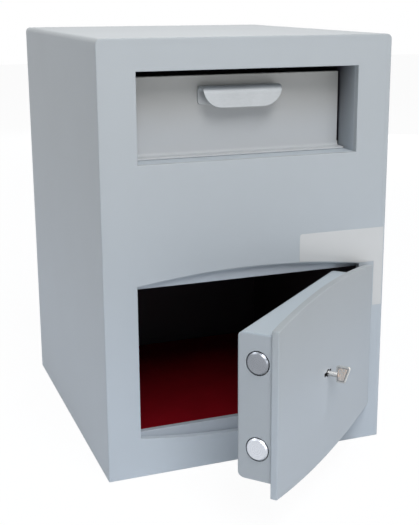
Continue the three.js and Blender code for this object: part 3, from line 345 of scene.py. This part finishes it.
def build_keyhole_painted_shade():
    """1 inside the door's keyhole, behind the plate's face, where the coat is painted black as shade."""
    group, given, out = effect(
        "keyhole_painted_shade",
        [("Centre", "Vector", on_door(*KEYHOLE_CENTRE)), ("Across", "Vector", door_direction(1, 0)),
         ("Inward", "Vector", door_direction(0, 1)), ("Half Width", "Float", 0.0106),
         ("Half Height", "Float", 0.0049), ("Start", "Float", 0.0004)],
        [("Mask", "Float")],
    )
    arm = vector_node(group, "SUBTRACT", object_place(group), given["Centre"])
    across = vector_node(group, "DOT_PRODUCT", arm, given["Across"])
    inward = vector_node(group, "DOT_PRODUCT", arm, given["Inward"])
    mask = math_node(group, "GREATER_THAN", inward, given["Start"])
    for value, limit in ((across, "Half Width"), (axes(group, arm)["Z"], "Half Height")):
        mask = math_node(group, "MULTIPLY", mask, within(group, value, given[limit]))
    connect(group, out, Mask=mask)
    return group


def build_inside_mask():
    """1 on the faces inside the cabinet and 0 on those outside."""
    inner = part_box("outer_casing")[1] - Vector([CASING_WALL - INSIDE_MARGIN] * 3)
    group, given, out = effect(
        "inside_mask",
        [("Half Width", "Float", inner.x), ("Half Depth", "Float", inner.y), ("Height", "Float", inner.z)],
        [("Mask", "Float")],
    )
    place = axes(group, object_place(group))
    mask = math_node(group, "LESS_THAN", place["Z"], given["Height"])
    for axis, limit in (("X", "Half Width"), ("Y", "Half Depth")):
        mask = math_node(group, "MULTIPLY", mask, within(group, place[axis], given[limit]))
    connect(group, out, Mask=mask)
    return group


def build_recess_painted_shade():
    """Black paint behind the drawer's face, and painted shade on the recess's side walls in front of it,
    darker deeper in and higher up.
    """
    low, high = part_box("slot_sleeve")
    group, given, out = effect(
        "recess_painted_shade",
        [("Front", "Float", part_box("front_panel")[1].y), ("Depth", "Float", RECESS_SHADE_DEPTH),
         ("Top", "Float", high.z - SLEEVE_WALL), ("Drop", "Float", high.z - low.z - 2 * SLEEVE_WALL),
         ("Wall", "Float", high.x - SLEEVE_WALL - RECESS_SHADE_MARGIN), ("Curve", "Float", RECESS_SHADE_CURVE),
         ("Fading", "Float", RECESS_SHADE_FADING)],
        [("Mask", "Float")],
    )
    place = axes(group, object_place(group))
    wall = share_node(group, "GREATER_THAN", math_node(group, "ABSOLUTE", place["X"]), given["Wall"])
    way_in = share_node(group, "SUBTRACT", place["Y"], given["Front"])
    way_down = share_node(group, "SUBTRACT", given["Top"], place["Z"])
    deep = share_node(group, "POWER", share_node(group, "DIVIDE", way_in, given["Depth"]), given["Curve"])
    lower = share_node(group, "DIVIDE", way_down, given["Drop"])
    fading = share_node(group, "MULTIPLY_ADD", lower, given["Fading"], 1.0)
    # Painted shade on the recess's side walls, darker deeper in and higher up
    recess_wall_shade = share_node(group, "MULTIPLY", share_node(group, "MULTIPLY", deep, fading), wall)
    behind = share_node(group, "GREATER_THAN", way_in, given["Depth"])
    connect(group, out, Mask=share_node(group, "MAXIMUM", recess_wall_shade, behind))
    return group


def build_brushed():
    """Fine lines along one axis, as left by rolling or grinding."""
    group, given, out = effect(
        "brushed",
        [("Stretch", "Vector"), ("Rough Low", "Float"), ("Rough High", "Float"),
         ("Depth", "Float", 0.00001), ("Edge", "Float", 0.0005)],
        [("Roughness", "Float"), ("Normal", "Vector")],
    )
    drawn = vector_node(group, "MULTIPLY", object_place(group), given["Stretch"])
    lines = node(group, "TexNoise", Vector=drawn, Scale=1.0, Detail=4.0).outputs["Fac"]
    roughness = map_range(group, lines, NOISE_MIDDLE, (given["Rough Low"], given["Rough High"]))
    normal = bump(group, lines, given["Depth"], Normal=rounded_normal(group, given["Edge"]))
    connect(group, out, Roughness=roughness, Normal=normal)
    return group


def build_turned_rings():
    """The rings that a lathe leaves on the end of a bar, and a mask of the bar's round side."""
    group, given, out = effect(
        "turned_rings",
        [("Centre", "Vector"), ("Axis", "Vector"), ("Pitch", "Float", 0.0008), ("Depth", "Float", 0.00001),
         ("Rough Low", "Float", 0.2), ("Rough High", "Float", 0.35), ("Edge", "Float", 0.0004),
         ("Side Cosine", "Float", 0.3)],
        [("Roughness", "Float"), ("Normal", "Vector"), ("Side", "Float")],
    )
    arm = vector_node(group, "SUBTRACT", object_place(group), given["Centre"])
    radius = vector_node(group, "LENGTH", vector_node(group, "CROSS_PRODUCT", arm, given["Axis"]))
    turns = math_node(group, "DIVIDE", radius, given["Pitch"])
    rings = node(group, "TexNoise", {"noise_dimensions": "1D"}, W=turns, Scale=1.0, Detail=3.0)
    rings = rings.outputs["Fac"]
    roughness = map_range(group, rings, NOISE_MIDDLE, (given["Rough Low"], given["Rough High"]))
    normal = bump(group, rings, given["Depth"], Normal=rounded_normal(group, given["Edge"]))
    flat = node(group, "NewGeometry").outputs["True Normal"]
    side = within(group, vector_node(group, "DOT_PRODUCT", flat, given["Axis"]), given["Side Cosine"])
    connect(group, out, Roughness=roughness, Normal=normal, Side=side)
    return group


def build_stamped_bow():
    """The key's bow: a border, a fine line inside it for painted shade, and a mottled field with small
    bumps.
    """
    group, given, out = effect(
        "stamped_bow",
        [("Centre", "Vector"), ("Outward", "Vector"), ("Half Length", "Float", 0.00825),
         ("Half Height", "Float", 0.0097), ("Half Slant", "Float", 0.00325), ("Border", "Float", 0.0016),
         ("Line", "Float", 0.0008), ("Grain", "Float", 0.0016)],
        [("Field", "Float"), ("Line", "Float"), ("Height", "Float")],
    )
    arm = vector_node(group, "SUBTRACT", object_place(group), given["Centre"])
    along = vector_node(group, "DOT_PRODUCT", arm, given["Outward"])
    height = axes(group, arm)["Z"]
    fallen = math_node(group, "SUBTRACT", given["Half Height"], height)
    fallen = math_node(group, "DIVIDE", fallen, given["Half Height"])
    slanted = math_node(group, "ADD", along, math_node(group, "MULTIPLY", fallen, given["Half Slant"]))
    to_end = math_node(group, "SUBTRACT", given["Half Length"], slanted)
    to_start = math_node(group, "ADD", given["Half Length"], along)
    to_edge = math_node(group, "SUBTRACT", given["Half Height"], math_node(group, "ABSOLUTE", height))
    depth = math_node(group, "MINIMUM", math_node(group, "MINIMUM", to_end, to_start), to_edge)
    inner = math_node(group, "GREATER_THAN", depth, given["Border"])
    field = math_node(group, "GREATER_THAN", depth, math_node(group, "ADD", given["Border"], given["Line"]))
    bumps = noise(group, given["Grain"], Detail=1.0)
    mottled = math_node(group, "MULTIPLY", field, map_range(group, bumps, SPOT_MIDDLE))
    line = math_node(group, "SUBTRACT", inner, field)
    connect(group, out, Field=mottled, Line=line, Height=math_node(group, "MULTIPLY", bumps, field))
    return group


def build_felt_fibres():
    """Short tangled fibres: light and dark specks, and a height for the bump."""
    group, given, out = effect(
        "felt_fibres",
        [("Color", "Color"), ("Fibre", "Float", 0.0012), ("Contrast", "Float", 0.5)],
        [("Color", "Color"), ("Height", "Float")],
    )
    tangle = noise(group, given["Fibre"], Detail=5.0, Roughness=0.7, Distortion=1.5)
    scale = math_node(group, "DIVIDE", 1.0, given["Fibre"])
    tuft = node(group, "TexVoronoi", {"feature": "F1"}, Vector=object_place(group), Scale=scale)
    swing = math_node(group, "SUBTRACT", tangle, 0.5)
    factor = math_node(group, "MULTIPLY_ADD", swing, given["Contrast"], 1.0)
    specks = vector_node(group, "SCALE", given["Color"], Scale=factor)
    height = math_node(group, "SUBTRACT", tangle, tuft.outputs["Distance"])
    connect(group, out, Color=specks, Height=height)
    return group


EFFECTS = {
    "tone": build_tone_drift(),
    "coat": build_coat_grain(),
    "height": build_height_painted_shading(),
    "keyhole": build_keyhole_painted_shade(),
    "inside": build_inside_mask(),
    "recess_painted_shade": build_recess_painted_shade(),
    "brushed": build_brushed(),
    "rings": build_turned_rings(),
    "bow": build_stamped_bow(),
    "felt": build_felt_fibres(),
}


def use(tree, effect_name, **inputs):
    """The outputs of an effect in a material."""
    return node(tree, "Group", {"node_tree": EFFECTS[effect_name]}, **inputs).outputs


# Materials
def new_material(name, **constants):
    """A material with its Principled shader; constants are set on the shader's own sockets."""
    material = bpy.data.materials.new(name)
    material.use_nodes = True
    shader = material.node_tree.nodes["Principled BSDF"]
    for label, value in constants.items():
        shader.inputs[label.replace("_", " ")].default_value = value
    return material, material.node_tree, shader


def drifting(tree, finish, color):
    """A colour with the drift of a finish."""
    return use(tree, "tone", Color=color, **DRIFTS[finish])["Color"]


def powder_coat(name, tones, skin="coat", black_paint_and_shade_mask=None):
    """Silver-grey powder coat with painted light and shade between its tones by height and a painted
    highlight on its edges; the mask says where it is black instead: black paint inside the cabinet, painted
    shade in the recess and the keyhole.
    """
    material, tree, shader = new_material(name, Roughness=0.45)
    high, low = opaque(tones["high"]), opaque(tones["low"])
    # Painted light and shade: the tone changes with height
    painted_shading = use(tree, "height", High=high, Low=low, Foot=tones["foot"], Head=tones["head"])["Color"]
    # Painted highlight on the edges: the high tone made lighter
    light = opaque([EDGE_HIGHLIGHT_GAIN * value for value in tones["high"]])
    coat = use(tree, "coat", **SKINS[skin])
    edge = math_node(tree, "MULTIPLY", coat["Edge"], EDGE_HIGHLIGHT_SHARE)
    tone = mix_color(tree, edge, drifting(tree, "coat", painted_shading), light)
    if black_paint_and_shade_mask:
        # Black paint, and painted shade where the mask marks the recess or the keyhole
        tone = mix_color(tree, use(tree, black_paint_and_shade_mask)["Mask"], tone, opaque(BLACK_PAINT_AND_SHADE))
    connect(tree, shader, Base_Color=tone, Normal=coat["Normal"])
    return material


def plain_coat(name, finish, color, **constants):
    """One drifting colour on a coat's skin."""
    material, tree, shader = new_material(name, **constants)
    normal = use(tree, "coat", **SKINS[finish])["Normal"]
    connect(tree, shader, Base_Color=drifting(tree, finish, opaque(color)), Normal=normal)
    return material


def brushed_sheet(name, metal, color):
    material, tree, shader = new_material(name, Metallic=1.0)
    lines = use(tree, "brushed", **BRUSHINGS[metal])
    tone = drifting(tree, "sheet", opaque(color))
    connect(tree, shader, Base_Color=tone, Roughness=lines["Roughness"], Normal=lines["Normal"])
    return material


def turned_steel(name, bolt, color):
    """The satin plated steel of a bolt, with the lathe's rings on its end and painted shade on its round
    side.
    """
    material, tree, shader = new_material(name, Metallic=1.0)
    rings = use(tree, "rings", Centre=box_middle(bolt), Axis=door_direction(1, 0))
    # Painted shade on the bolt's round side, where it stands in its dark hole
    tone = mix_color(tree, rings["Side"], drifting(tree, "bolt", opaque(color)), opaque(OILED_STEEL_AND_SHADE))
    connect(tree, shader, Base_Color=tone, Roughness=rings["Roughness"], Normal=rings["Normal"])
    return material


def key_nickel(name):
    """Bright nickel with painted shade on its underside, and a stamped field on the bow."""
    material, tree, shader = new_material(name, Metallic=1.0)
    bow = use(tree, "bow", Centre=on_door(*BOW_CENTRE), Outward=door_direction(0, -1))
    lines = use(tree, "brushed", **BRUSHINGS["key"])
    upward = axes(tree, node(tree, "NewGeometry").outputs["Normal"])["Z"]
    # Painted shade: the key darkens where its faces look down
    underside_shade = map_range(tree, upward, UNDERSIDE_SHADE_SLOPES, (0.0, UNDERSIDE_SHADE_SHARE))
    tone = mix_color(tree, underside_shade, drifting(tree, "key", opaque(NICKEL)), opaque(KEY_SHADE))
    tone = mix_color(tree, bow["Field"], tone, opaque(KEY_BEIGE))
    # Painted shade in the bow's fine line inside its border
    tone = mix_color(tree, bow["Line"], tone, opaque(KEY_SHADE))
    normal = bump(tree, bow["Height"], KEY_RELIEF, Normal=lines["Normal"])
    connect(tree, shader, Base_Color=tone, Roughness=lines["Roughness"], Normal=normal)
    return material


def red_felt(name):
    material, tree, shader = new_material(name, Roughness=1.0, Specular_IOR_Level=0.05)
    fibres = use(tree, "felt", Color=drifting(tree, "felt", opaque(CARPET_RED)))
    normal = bump(tree, fibres["Height"], depth=0.0008, strength=0.8)
    connect(tree, shader, Base_Color=fibres["Color"], Normal=normal)
    return material


MATERIALS = {
    "casing": powder_coat("casing_silver_coat", SILVER, black_paint_and_shade_mask="inside"),
    "front": powder_coat("front_silver_coat", SILVER),
    "frame": powder_coat("frame_silver_coat", FRAME_SILVER),
    # The recess's coat carries painted shade on its side walls
    "sleeve": powder_coat("recess_silver_coat", SLEEVE_SILVER, black_paint_and_shade_mask="recess_painted_shade"),
    # The door's coat is painted black inside the keyhole as shade
    "door": powder_coat("door_silver_coat", DOOR_SILVER, black_paint_and_shade_mask="keyhole"),
    "case": powder_coat("case_silver_coat", CASE_SILVER),
    "drawer": powder_coat("drawer_silver_coat", DRAWER_SILVER),
    "seam": powder_coat("seam_silver_coat", SILVER, skin="seam"),
    "black": plain_coat("interior_black_coat", "black", BLACK_PAINT_AND_SHADE, Roughness=0.75),
    "nylon": plain_coat("bush_nylon", "nylon", NYLON, Roughness=0.5, Subsurface_Weight=0.1),
    "label": plain_coat("label_silver_film", "label", LABEL_SILVER, Roughness=0.4, Metallic=0.2,
                        Coat_Weight=0.2),
    "handle": brushed_sheet("handle_satin_steel", "handle", HANDLE_STEEL),
    "zinc": brushed_sheet("zinc_plated_sheet", "zinc", ZINC),
    "barrel": brushed_sheet("barrel_oiled_steel", "barrel", OILED_STEEL_AND_SHADE),
    # One steel in two copies: the upper bolt painted darker as shade, the lower one lighter as painted
    # light
    "bolt_upper": turned_steel("upper_bolt_shaded_steel", "bolt_upper", UPPER_BOLT_SHADED_STEEL),
    "bolt_lower": turned_steel("lower_bolt_lit_steel", "bolt_lower", LOWER_BOLT_LIT_STEEL),
    "key": key_nickel("key_nickel"),
    "felt": red_felt("red_felt_carpet"),
}

# Which finish each CAD node has
NODE_FINISHES = {
    "casing": ["outer_casing", "back_panel"],
    "front": ["front_panel"],
    "frame": ["door_frame"],
    "sleeve": ["slot_sleeve"],
    "door": ["door_plate"],
    "case": ["door_rear_case"],
    "drawer": ["drawer_front"],
    "handle": ["drawer_handle"],
    "black": ["base_plate", "housing_side_right", "housing_side_left", "drawer_hood", "anti_fish_comb",
              "hinge_bracket_upper", "hinge_bracket_lower", "hinge_arm_upper", "hinge_arm_lower"],
    "zinc": ["runner_outer_right", "runner_outer_left", "runner_middle_right", "runner_middle_left",
             "runner_inner_right", "runner_inner_left", "hinge_pin_upper", "hinge_pin_lower",
             "drawer_side_right", "drawer_side_left", "drawer_floor", "flap_hinge_rod", "trap_flap",
             "flap_cam_rod", "lock_case", "bolt_guide_upper", "bolt_guide_lower", "bolt_plate", "lock_cam"],
    "bolt_upper": ["bolt_upper"],
    "bolt_lower": ["bolt_lower"],
    "key": ["key"],
    "barrel": ["lock_barrel"],
    "nylon": ["glide_bush_right", "glide_bush_left"],
    "felt": ["floor_carpet"],
}


def finish_nodes():
    for finish, names in NODE_FINISHES.items():
        for name in names:
            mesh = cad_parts[name].data
            mesh.materials.clear()
            mesh.materials.append(MATERIALS[finish])


# Objects and pieces
def add_object(name, data):
    made = bpy.data.objects.new(name, data)
    bpy.context.scene.collection.objects.link(made)
    return made


def add_mesh(name, work, material):
    """Turns a bmesh into an object of one material."""
    mesh = bpy.data.meshes.new(name)
    work.to_mesh(mesh)
    work.free()
    mesh.materials.append(material)
    return add_object(name, mesh)


def mesh_piece(name, work, finish, body):
    """Turns a bmesh into a piece that rides on a body."""
    bmesh.ops.recalc_face_normals(work, faces=work.faces)
    piece = add_mesh(name, work, MATERIALS[finish])
    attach(piece, body)
    return piece


def extrude(work, faces):
    """Extrudes faces on the spot and returns the new vertices."""
    made = bmesh.ops.extrude_face_region(work, geom=faces)["geom"]
    return [item for item in made if isinstance(item, bmesh.types.BMVert)]


def arc(centre_x, centre_z, radius, start, end, steps):
    """Points (x, z) along an arc between two angles in degrees."""
    turns = [math.radians(start + (end - start) * i / steps) for i in range(steps + 1)]
    return [(centre_x + radius * math.cos(turn), centre_z + radius * math.sin(turn)) for turn in turns]


# Camera, lamps and stage
def build_camera():
    az, el, roll = CAMERA_AZIMUTH, CAMERA_ELEVATION, CAMERA_ROLL
    back = Vector((math.sin(az) * math.cos(el), -math.cos(az) * math.cos(el), math.sin(el)))
    level = Vector((0, 0, 1)).cross(back).normalized()
    above = back.cross(level)
    right = math.cos(roll) * level + math.sin(roll) * above
    up = math.cos(roll) * above - math.sin(roll) * level
    camera = add_object("camera", bpy.data.cameras.new("camera"))
    camera.data.lens = CAMERA_LENS
    camera.data.shift_x, camera.data.shift_y = CAMERA_SHIFT
    turned = Matrix((right, up, back)).transposed().to_4x4()
    camera.matrix_world = Matrix.Translation(CAMERA_PLACE) @ turned
    bpy.context.scene.camera = camera


def build_lamp(name, place, size, watts, color):
    light = bpy.data.lights.new(name, "AREA")
    light.shape = "RECTANGLE"
    light.size, light.size_y = size
    light.energy = watts
    light.color = color
    lamp = add_object(name, light)
    lamp.location = place
    lamp.rotation_euler = (LAMP_AIM - Vector(place)).to_track_quat("-Z", "Y").to_euler()


def seen_directly(tree):
    """1 for the camera's rays and for mirrored and refracted ones, else 0."""
    path = node(tree, "LightPath").outputs
    straight = math_node(tree, "MAXIMUM", path["Is Camera Ray"], path["Is Glossy Ray"])
    return math_node(tree, "MAXIMUM", straight, path["Is Transmission Ray"])


def build_floor():
    work = bmesh.new()
    corners = [(-FLOOR_HALF, -FLOOR_HALF), (FLOOR_HALF, -FLOOR_HALF), (FLOOR_HALF, FLOOR_HALF),
               (-FLOOR_HALF, FLOOR_HALF)]
    work.faces.new([work.verts.new((x, y, -FLOOR_DROP)) for x, y in corners])
    material, tree, shader = new_material(
        "stage_white", Base_Color=opaque(FLOOR_TONE), Roughness=FLOOR_ROUGHNESS
    )
    share = math_node(tree, "MULTIPLY", seen_directly(tree), FLOOR_WHITE_SHARE)
    white = node(tree, "Emission", Strength=FLOOR_WHITE)
    connect(tree, tree.nodes["Material Output"], Surface=mix_shader(tree, share, shader, white))
    add_mesh("stage_floor", work, material)


def build_world():
    world = bpy.data.worlds.new("studio")
    world.use_nodes = True
    tree = world.node_tree
    tree.nodes.clear()
    plain = node(tree, "Background", Color=opaque(WORLD_TINT), Strength=WORLD_LEVEL)
    white = node(tree, "Background", Color=opaque(WHITE), Strength=WORLD_WHITE)
    out = node(tree, "OutputWorld")
    connect(tree, out, Surface=mix_shader(tree, seen_directly(tree), plain, white))
    bpy.context.scene.world = world


# Carpet: a cut piece of needle felt laid on the base, with a faint wave
CARPET_STEP = 0.004
CARPET_HEAD_DROP = 0.0006
CARPET_FOOT_RISE = 0.0002
CARPET_WAVE = 0.0003
WAVE_ACROSS, WAVE_ALONG, WAVE_START = 31, 27, 2
GRID_HALF = 0.5


def carpet_wave(x, y):
    return CARPET_WAVE * math.sin(WAVE_ACROSS * x + WAVE_START) * math.sin(WAVE_ALONG * y)


def build_carpet():
    low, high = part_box("floor_carpet")
    width, length = high.x - low.x, high.y - low.y
    columns, rows = round(width / CARPET_STEP), round(length / CARPET_STEP)
    work = bmesh.new()
    bmesh.ops.create_grid(work, x_segments=columns, y_segments=rows, size=GRID_HALF)
    for vert in work.verts:
        x = low.x + (vert.co.x + GRID_HALF) * width
        y = low.y + (vert.co.y + GRID_HALF) * length
        vert.co = (x, y, high.z - CARPET_HEAD_DROP + carpet_wave(x, y))
    for vert in extrude(work, list(work.faces)):
        vert.co.z = low.z + CARPET_FOOT_RISE
    carpet = mesh_piece("carpet", work, "felt", "cabinet")
    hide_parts("floor_carpet")


# Label: a bare film on the front panel, trimmed along the door opening's arch, with one leg at its right
LABEL_LEFT, LABEL_RIGHT = 0.0617, 0.1730
LABEL_HEAD = 0.2720
LABEL_LEG_LEFT, LABEL_LEG_FOOT = 0.1610, 0.1745
LABEL_CORNER = 0.003
LABEL_CORNER_STEPS = 6
LABEL_THICKNESS = 0.0003
LABEL_MARGIN = 0.0014
LABEL_FOOT_STEPS = 12

# The door opening: its sides, the height of its upper corners and the rise of the arch between them
OPENING_LEFT, OPENING_RIGHT = -0.1360, 0.1410
OPENING_CORNER = 0.2290
ARCH_RISE = 0.0104


def arch_height(x):
    """The height of the opening's arch, level beyond its right end."""
    half = (OPENING_RIGHT - OPENING_LEFT) / 2
    radius = (half**2 + ARCH_RISE**2) / (2 * ARCH_RISE)
    across = min(x, OPENING_RIGHT) - (OPENING_RIGHT + OPENING_LEFT) / 2
    return OPENING_CORNER + ARCH_RISE - radius + math.sqrt(radius**2 - across**2)


def build_label():
    face_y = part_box("front_panel")[0].y
    corner_x, corner_z = LABEL_LEFT + LABEL_CORNER, LABEL_HEAD - LABEL_CORNER
    step = (LABEL_LEG_LEFT - LABEL_LEFT) / LABEL_FOOT_STEPS
    foot = [LABEL_LEG_LEFT - step * i for i in range(LABEL_FOOT_STEPS + 1)]
    outline = [
        *arc(corner_x, corner_z, LABEL_CORNER, 180, 90, LABEL_CORNER_STEPS),
        (LABEL_RIGHT, LABEL_HEAD),
        (LABEL_RIGHT, LABEL_LEG_FOOT),
        (LABEL_LEG_LEFT, LABEL_LEG_FOOT),
        *((x, arch_height(x) + LABEL_MARGIN) for x in foot),
    ]
    work = bmesh.new()
    face = work.faces.new([work.verts.new((x, face_y - LABEL_THICKNESS, z)) for x, z in outline])
    for vert in extrude(work, [face]):
        vert.co.y = face_y
    mesh_piece("front_label", work, "label", "cabinet")


# Filled and painted seams between the casing and its front and rear sheets
SEAM_GAP = 0.0003
SEAM_CORNER = 0.0022
SEAM_CORNER_STEPS = 6
SEAM_HALF_WIDTH = 0.0016
SEAM_PROUD = 0.00015


def seam_line(offset):
    """Points from the right foot over the top to the left foot, at an offset outside the seam's middle."""
    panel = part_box("front_panel")[1]
    reach, top = panel.x + SEAM_GAP / 2, panel.z + SEAM_GAP / 2
    corners = []
    for side, start in ((1, 0), (-1, 90)):
        centre_x, centre_z = side * (reach - SEAM_CORNER), top - SEAM_CORNER
        corners += arc(centre_x, centre_z, SEAM_CORNER + offset, start, start + 90, SEAM_CORNER_STEPS)
    return [(reach + offset, 0.0), *corners, (-reach - offset, 0.0)]


def build_seam(name, face_y):
    """A flat bead of filler that covers one seam."""
    outward = math.copysign(SEAM_PROUD, face_y)
    section = [(SEAM_HALF_WIDTH, -outward), (SEAM_HALF_WIDTH, outward), (-SEAM_HALF_WIDTH, outward),
               (-SEAM_HALF_WIDTH, -outward)]
    work = bmesh.new()
    loops = [
        [work.verts.new((x, face_y + depth, z)) for x, z in seam_line(offset)] for offset, depth in section
    ]
    for first, second in zip(loops, loops[1:] + loops[:1]):
        for i in range(len(first) - 1):
            work.faces.new((first[i], first[i + 1], second[i + 1], second[i]))
    for end in (0, -1):
        work.faces.new([loop[end] for loop in loops])
    mesh_piece(name, work, "seam", "cabinet")


# Screw heads on the rear of the door's case: radius and height of each ring, and the socket in the middle
SCREW_RINGS = ((0.0034, 0.0), (0.0031, 0.0007), (0.0022, 0.0010))
SCREW_TOP = 0.0011
SCREW_STEPS = 24
SOCKET_RADIUS, SOCKET_FLOOR = 0.0013, 0.0003
SOCKET_CORNER = math.radians(60)

# Their places on the shut door: the case's rear face, the columns, and the rows' distance from its ends
CASE_REAR = -0.1537
SCREW_COLUMNS = (-0.1185, 0.0980)
SCREW_INSET = 0.016


def hexagon_radius(turn):
    """The distance from a hexagon socket's middle to its side."""
    half = SOCKET_CORNER / 2
    return SOCKET_RADIUS / math.cos((turn + half) % SOCKET_CORNER - half)


def add_screw_head(work, foot, outward):
    """A low round head with a hexagon socket, its foot on a face that looks outward."""
    up = Vector((0, 0, 1))
    across = up.cross(outward)
    turns = [2 * math.pi * i / SCREW_STEPS for i in range(SCREW_STEPS)]
    rings = [[(radius, height) for _ in turns] for radius, height in SCREW_RINGS]
    rings += [[(hexagon_radius(turn), height) for turn in turns] for height in (SCREW_TOP, SOCKET_FLOOR)]
    spokes = [math.cos(turn) * across + math.sin(turn) * up for turn in turns]
    loops = [
        [
            work.verts.new(foot + height * outward + radius * spoke)
            for spoke, (radius, height) in zip(spokes, ring)
        ]
        for ring in rings
    ]
    for first, second in zip(loops, loops[1:]):
        for i in range(SCREW_STEPS):
            j = (i + 1) % SCREW_STEPS
            work.faces.new((first[i], first[j], second[j], second[i]))
    work.faces.new(loops[0][::-1])
    work.faces.new(loops[-1])


def build_case_screws():
    low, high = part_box("door_rear_case")
    work = bmesh.new()
    for x in SCREW_COLUMNS:
        for z in (low.z + SCREW_INSET, high.z - SCREW_INSET):
            add_screw_head(work, on_door(x, CASE_REAR, z), door_direction(0, 1))
    mesh_piece("case_screws", work, "zinc", "door")


# The scene
build_camera()
bpy.context.scene.view_settings.view_transform = "Standard"
build_floor()
build_world()
for lamp_name, values in LAMPS.items():
    build_lamp(lamp_name, *values)
finish_nodes()
build_carpet()
build_label()
build_seam("front_seam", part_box("front_panel")[0].y)
build_seam("rear_seam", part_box("back_panel")[1].y)
build_case_screws()
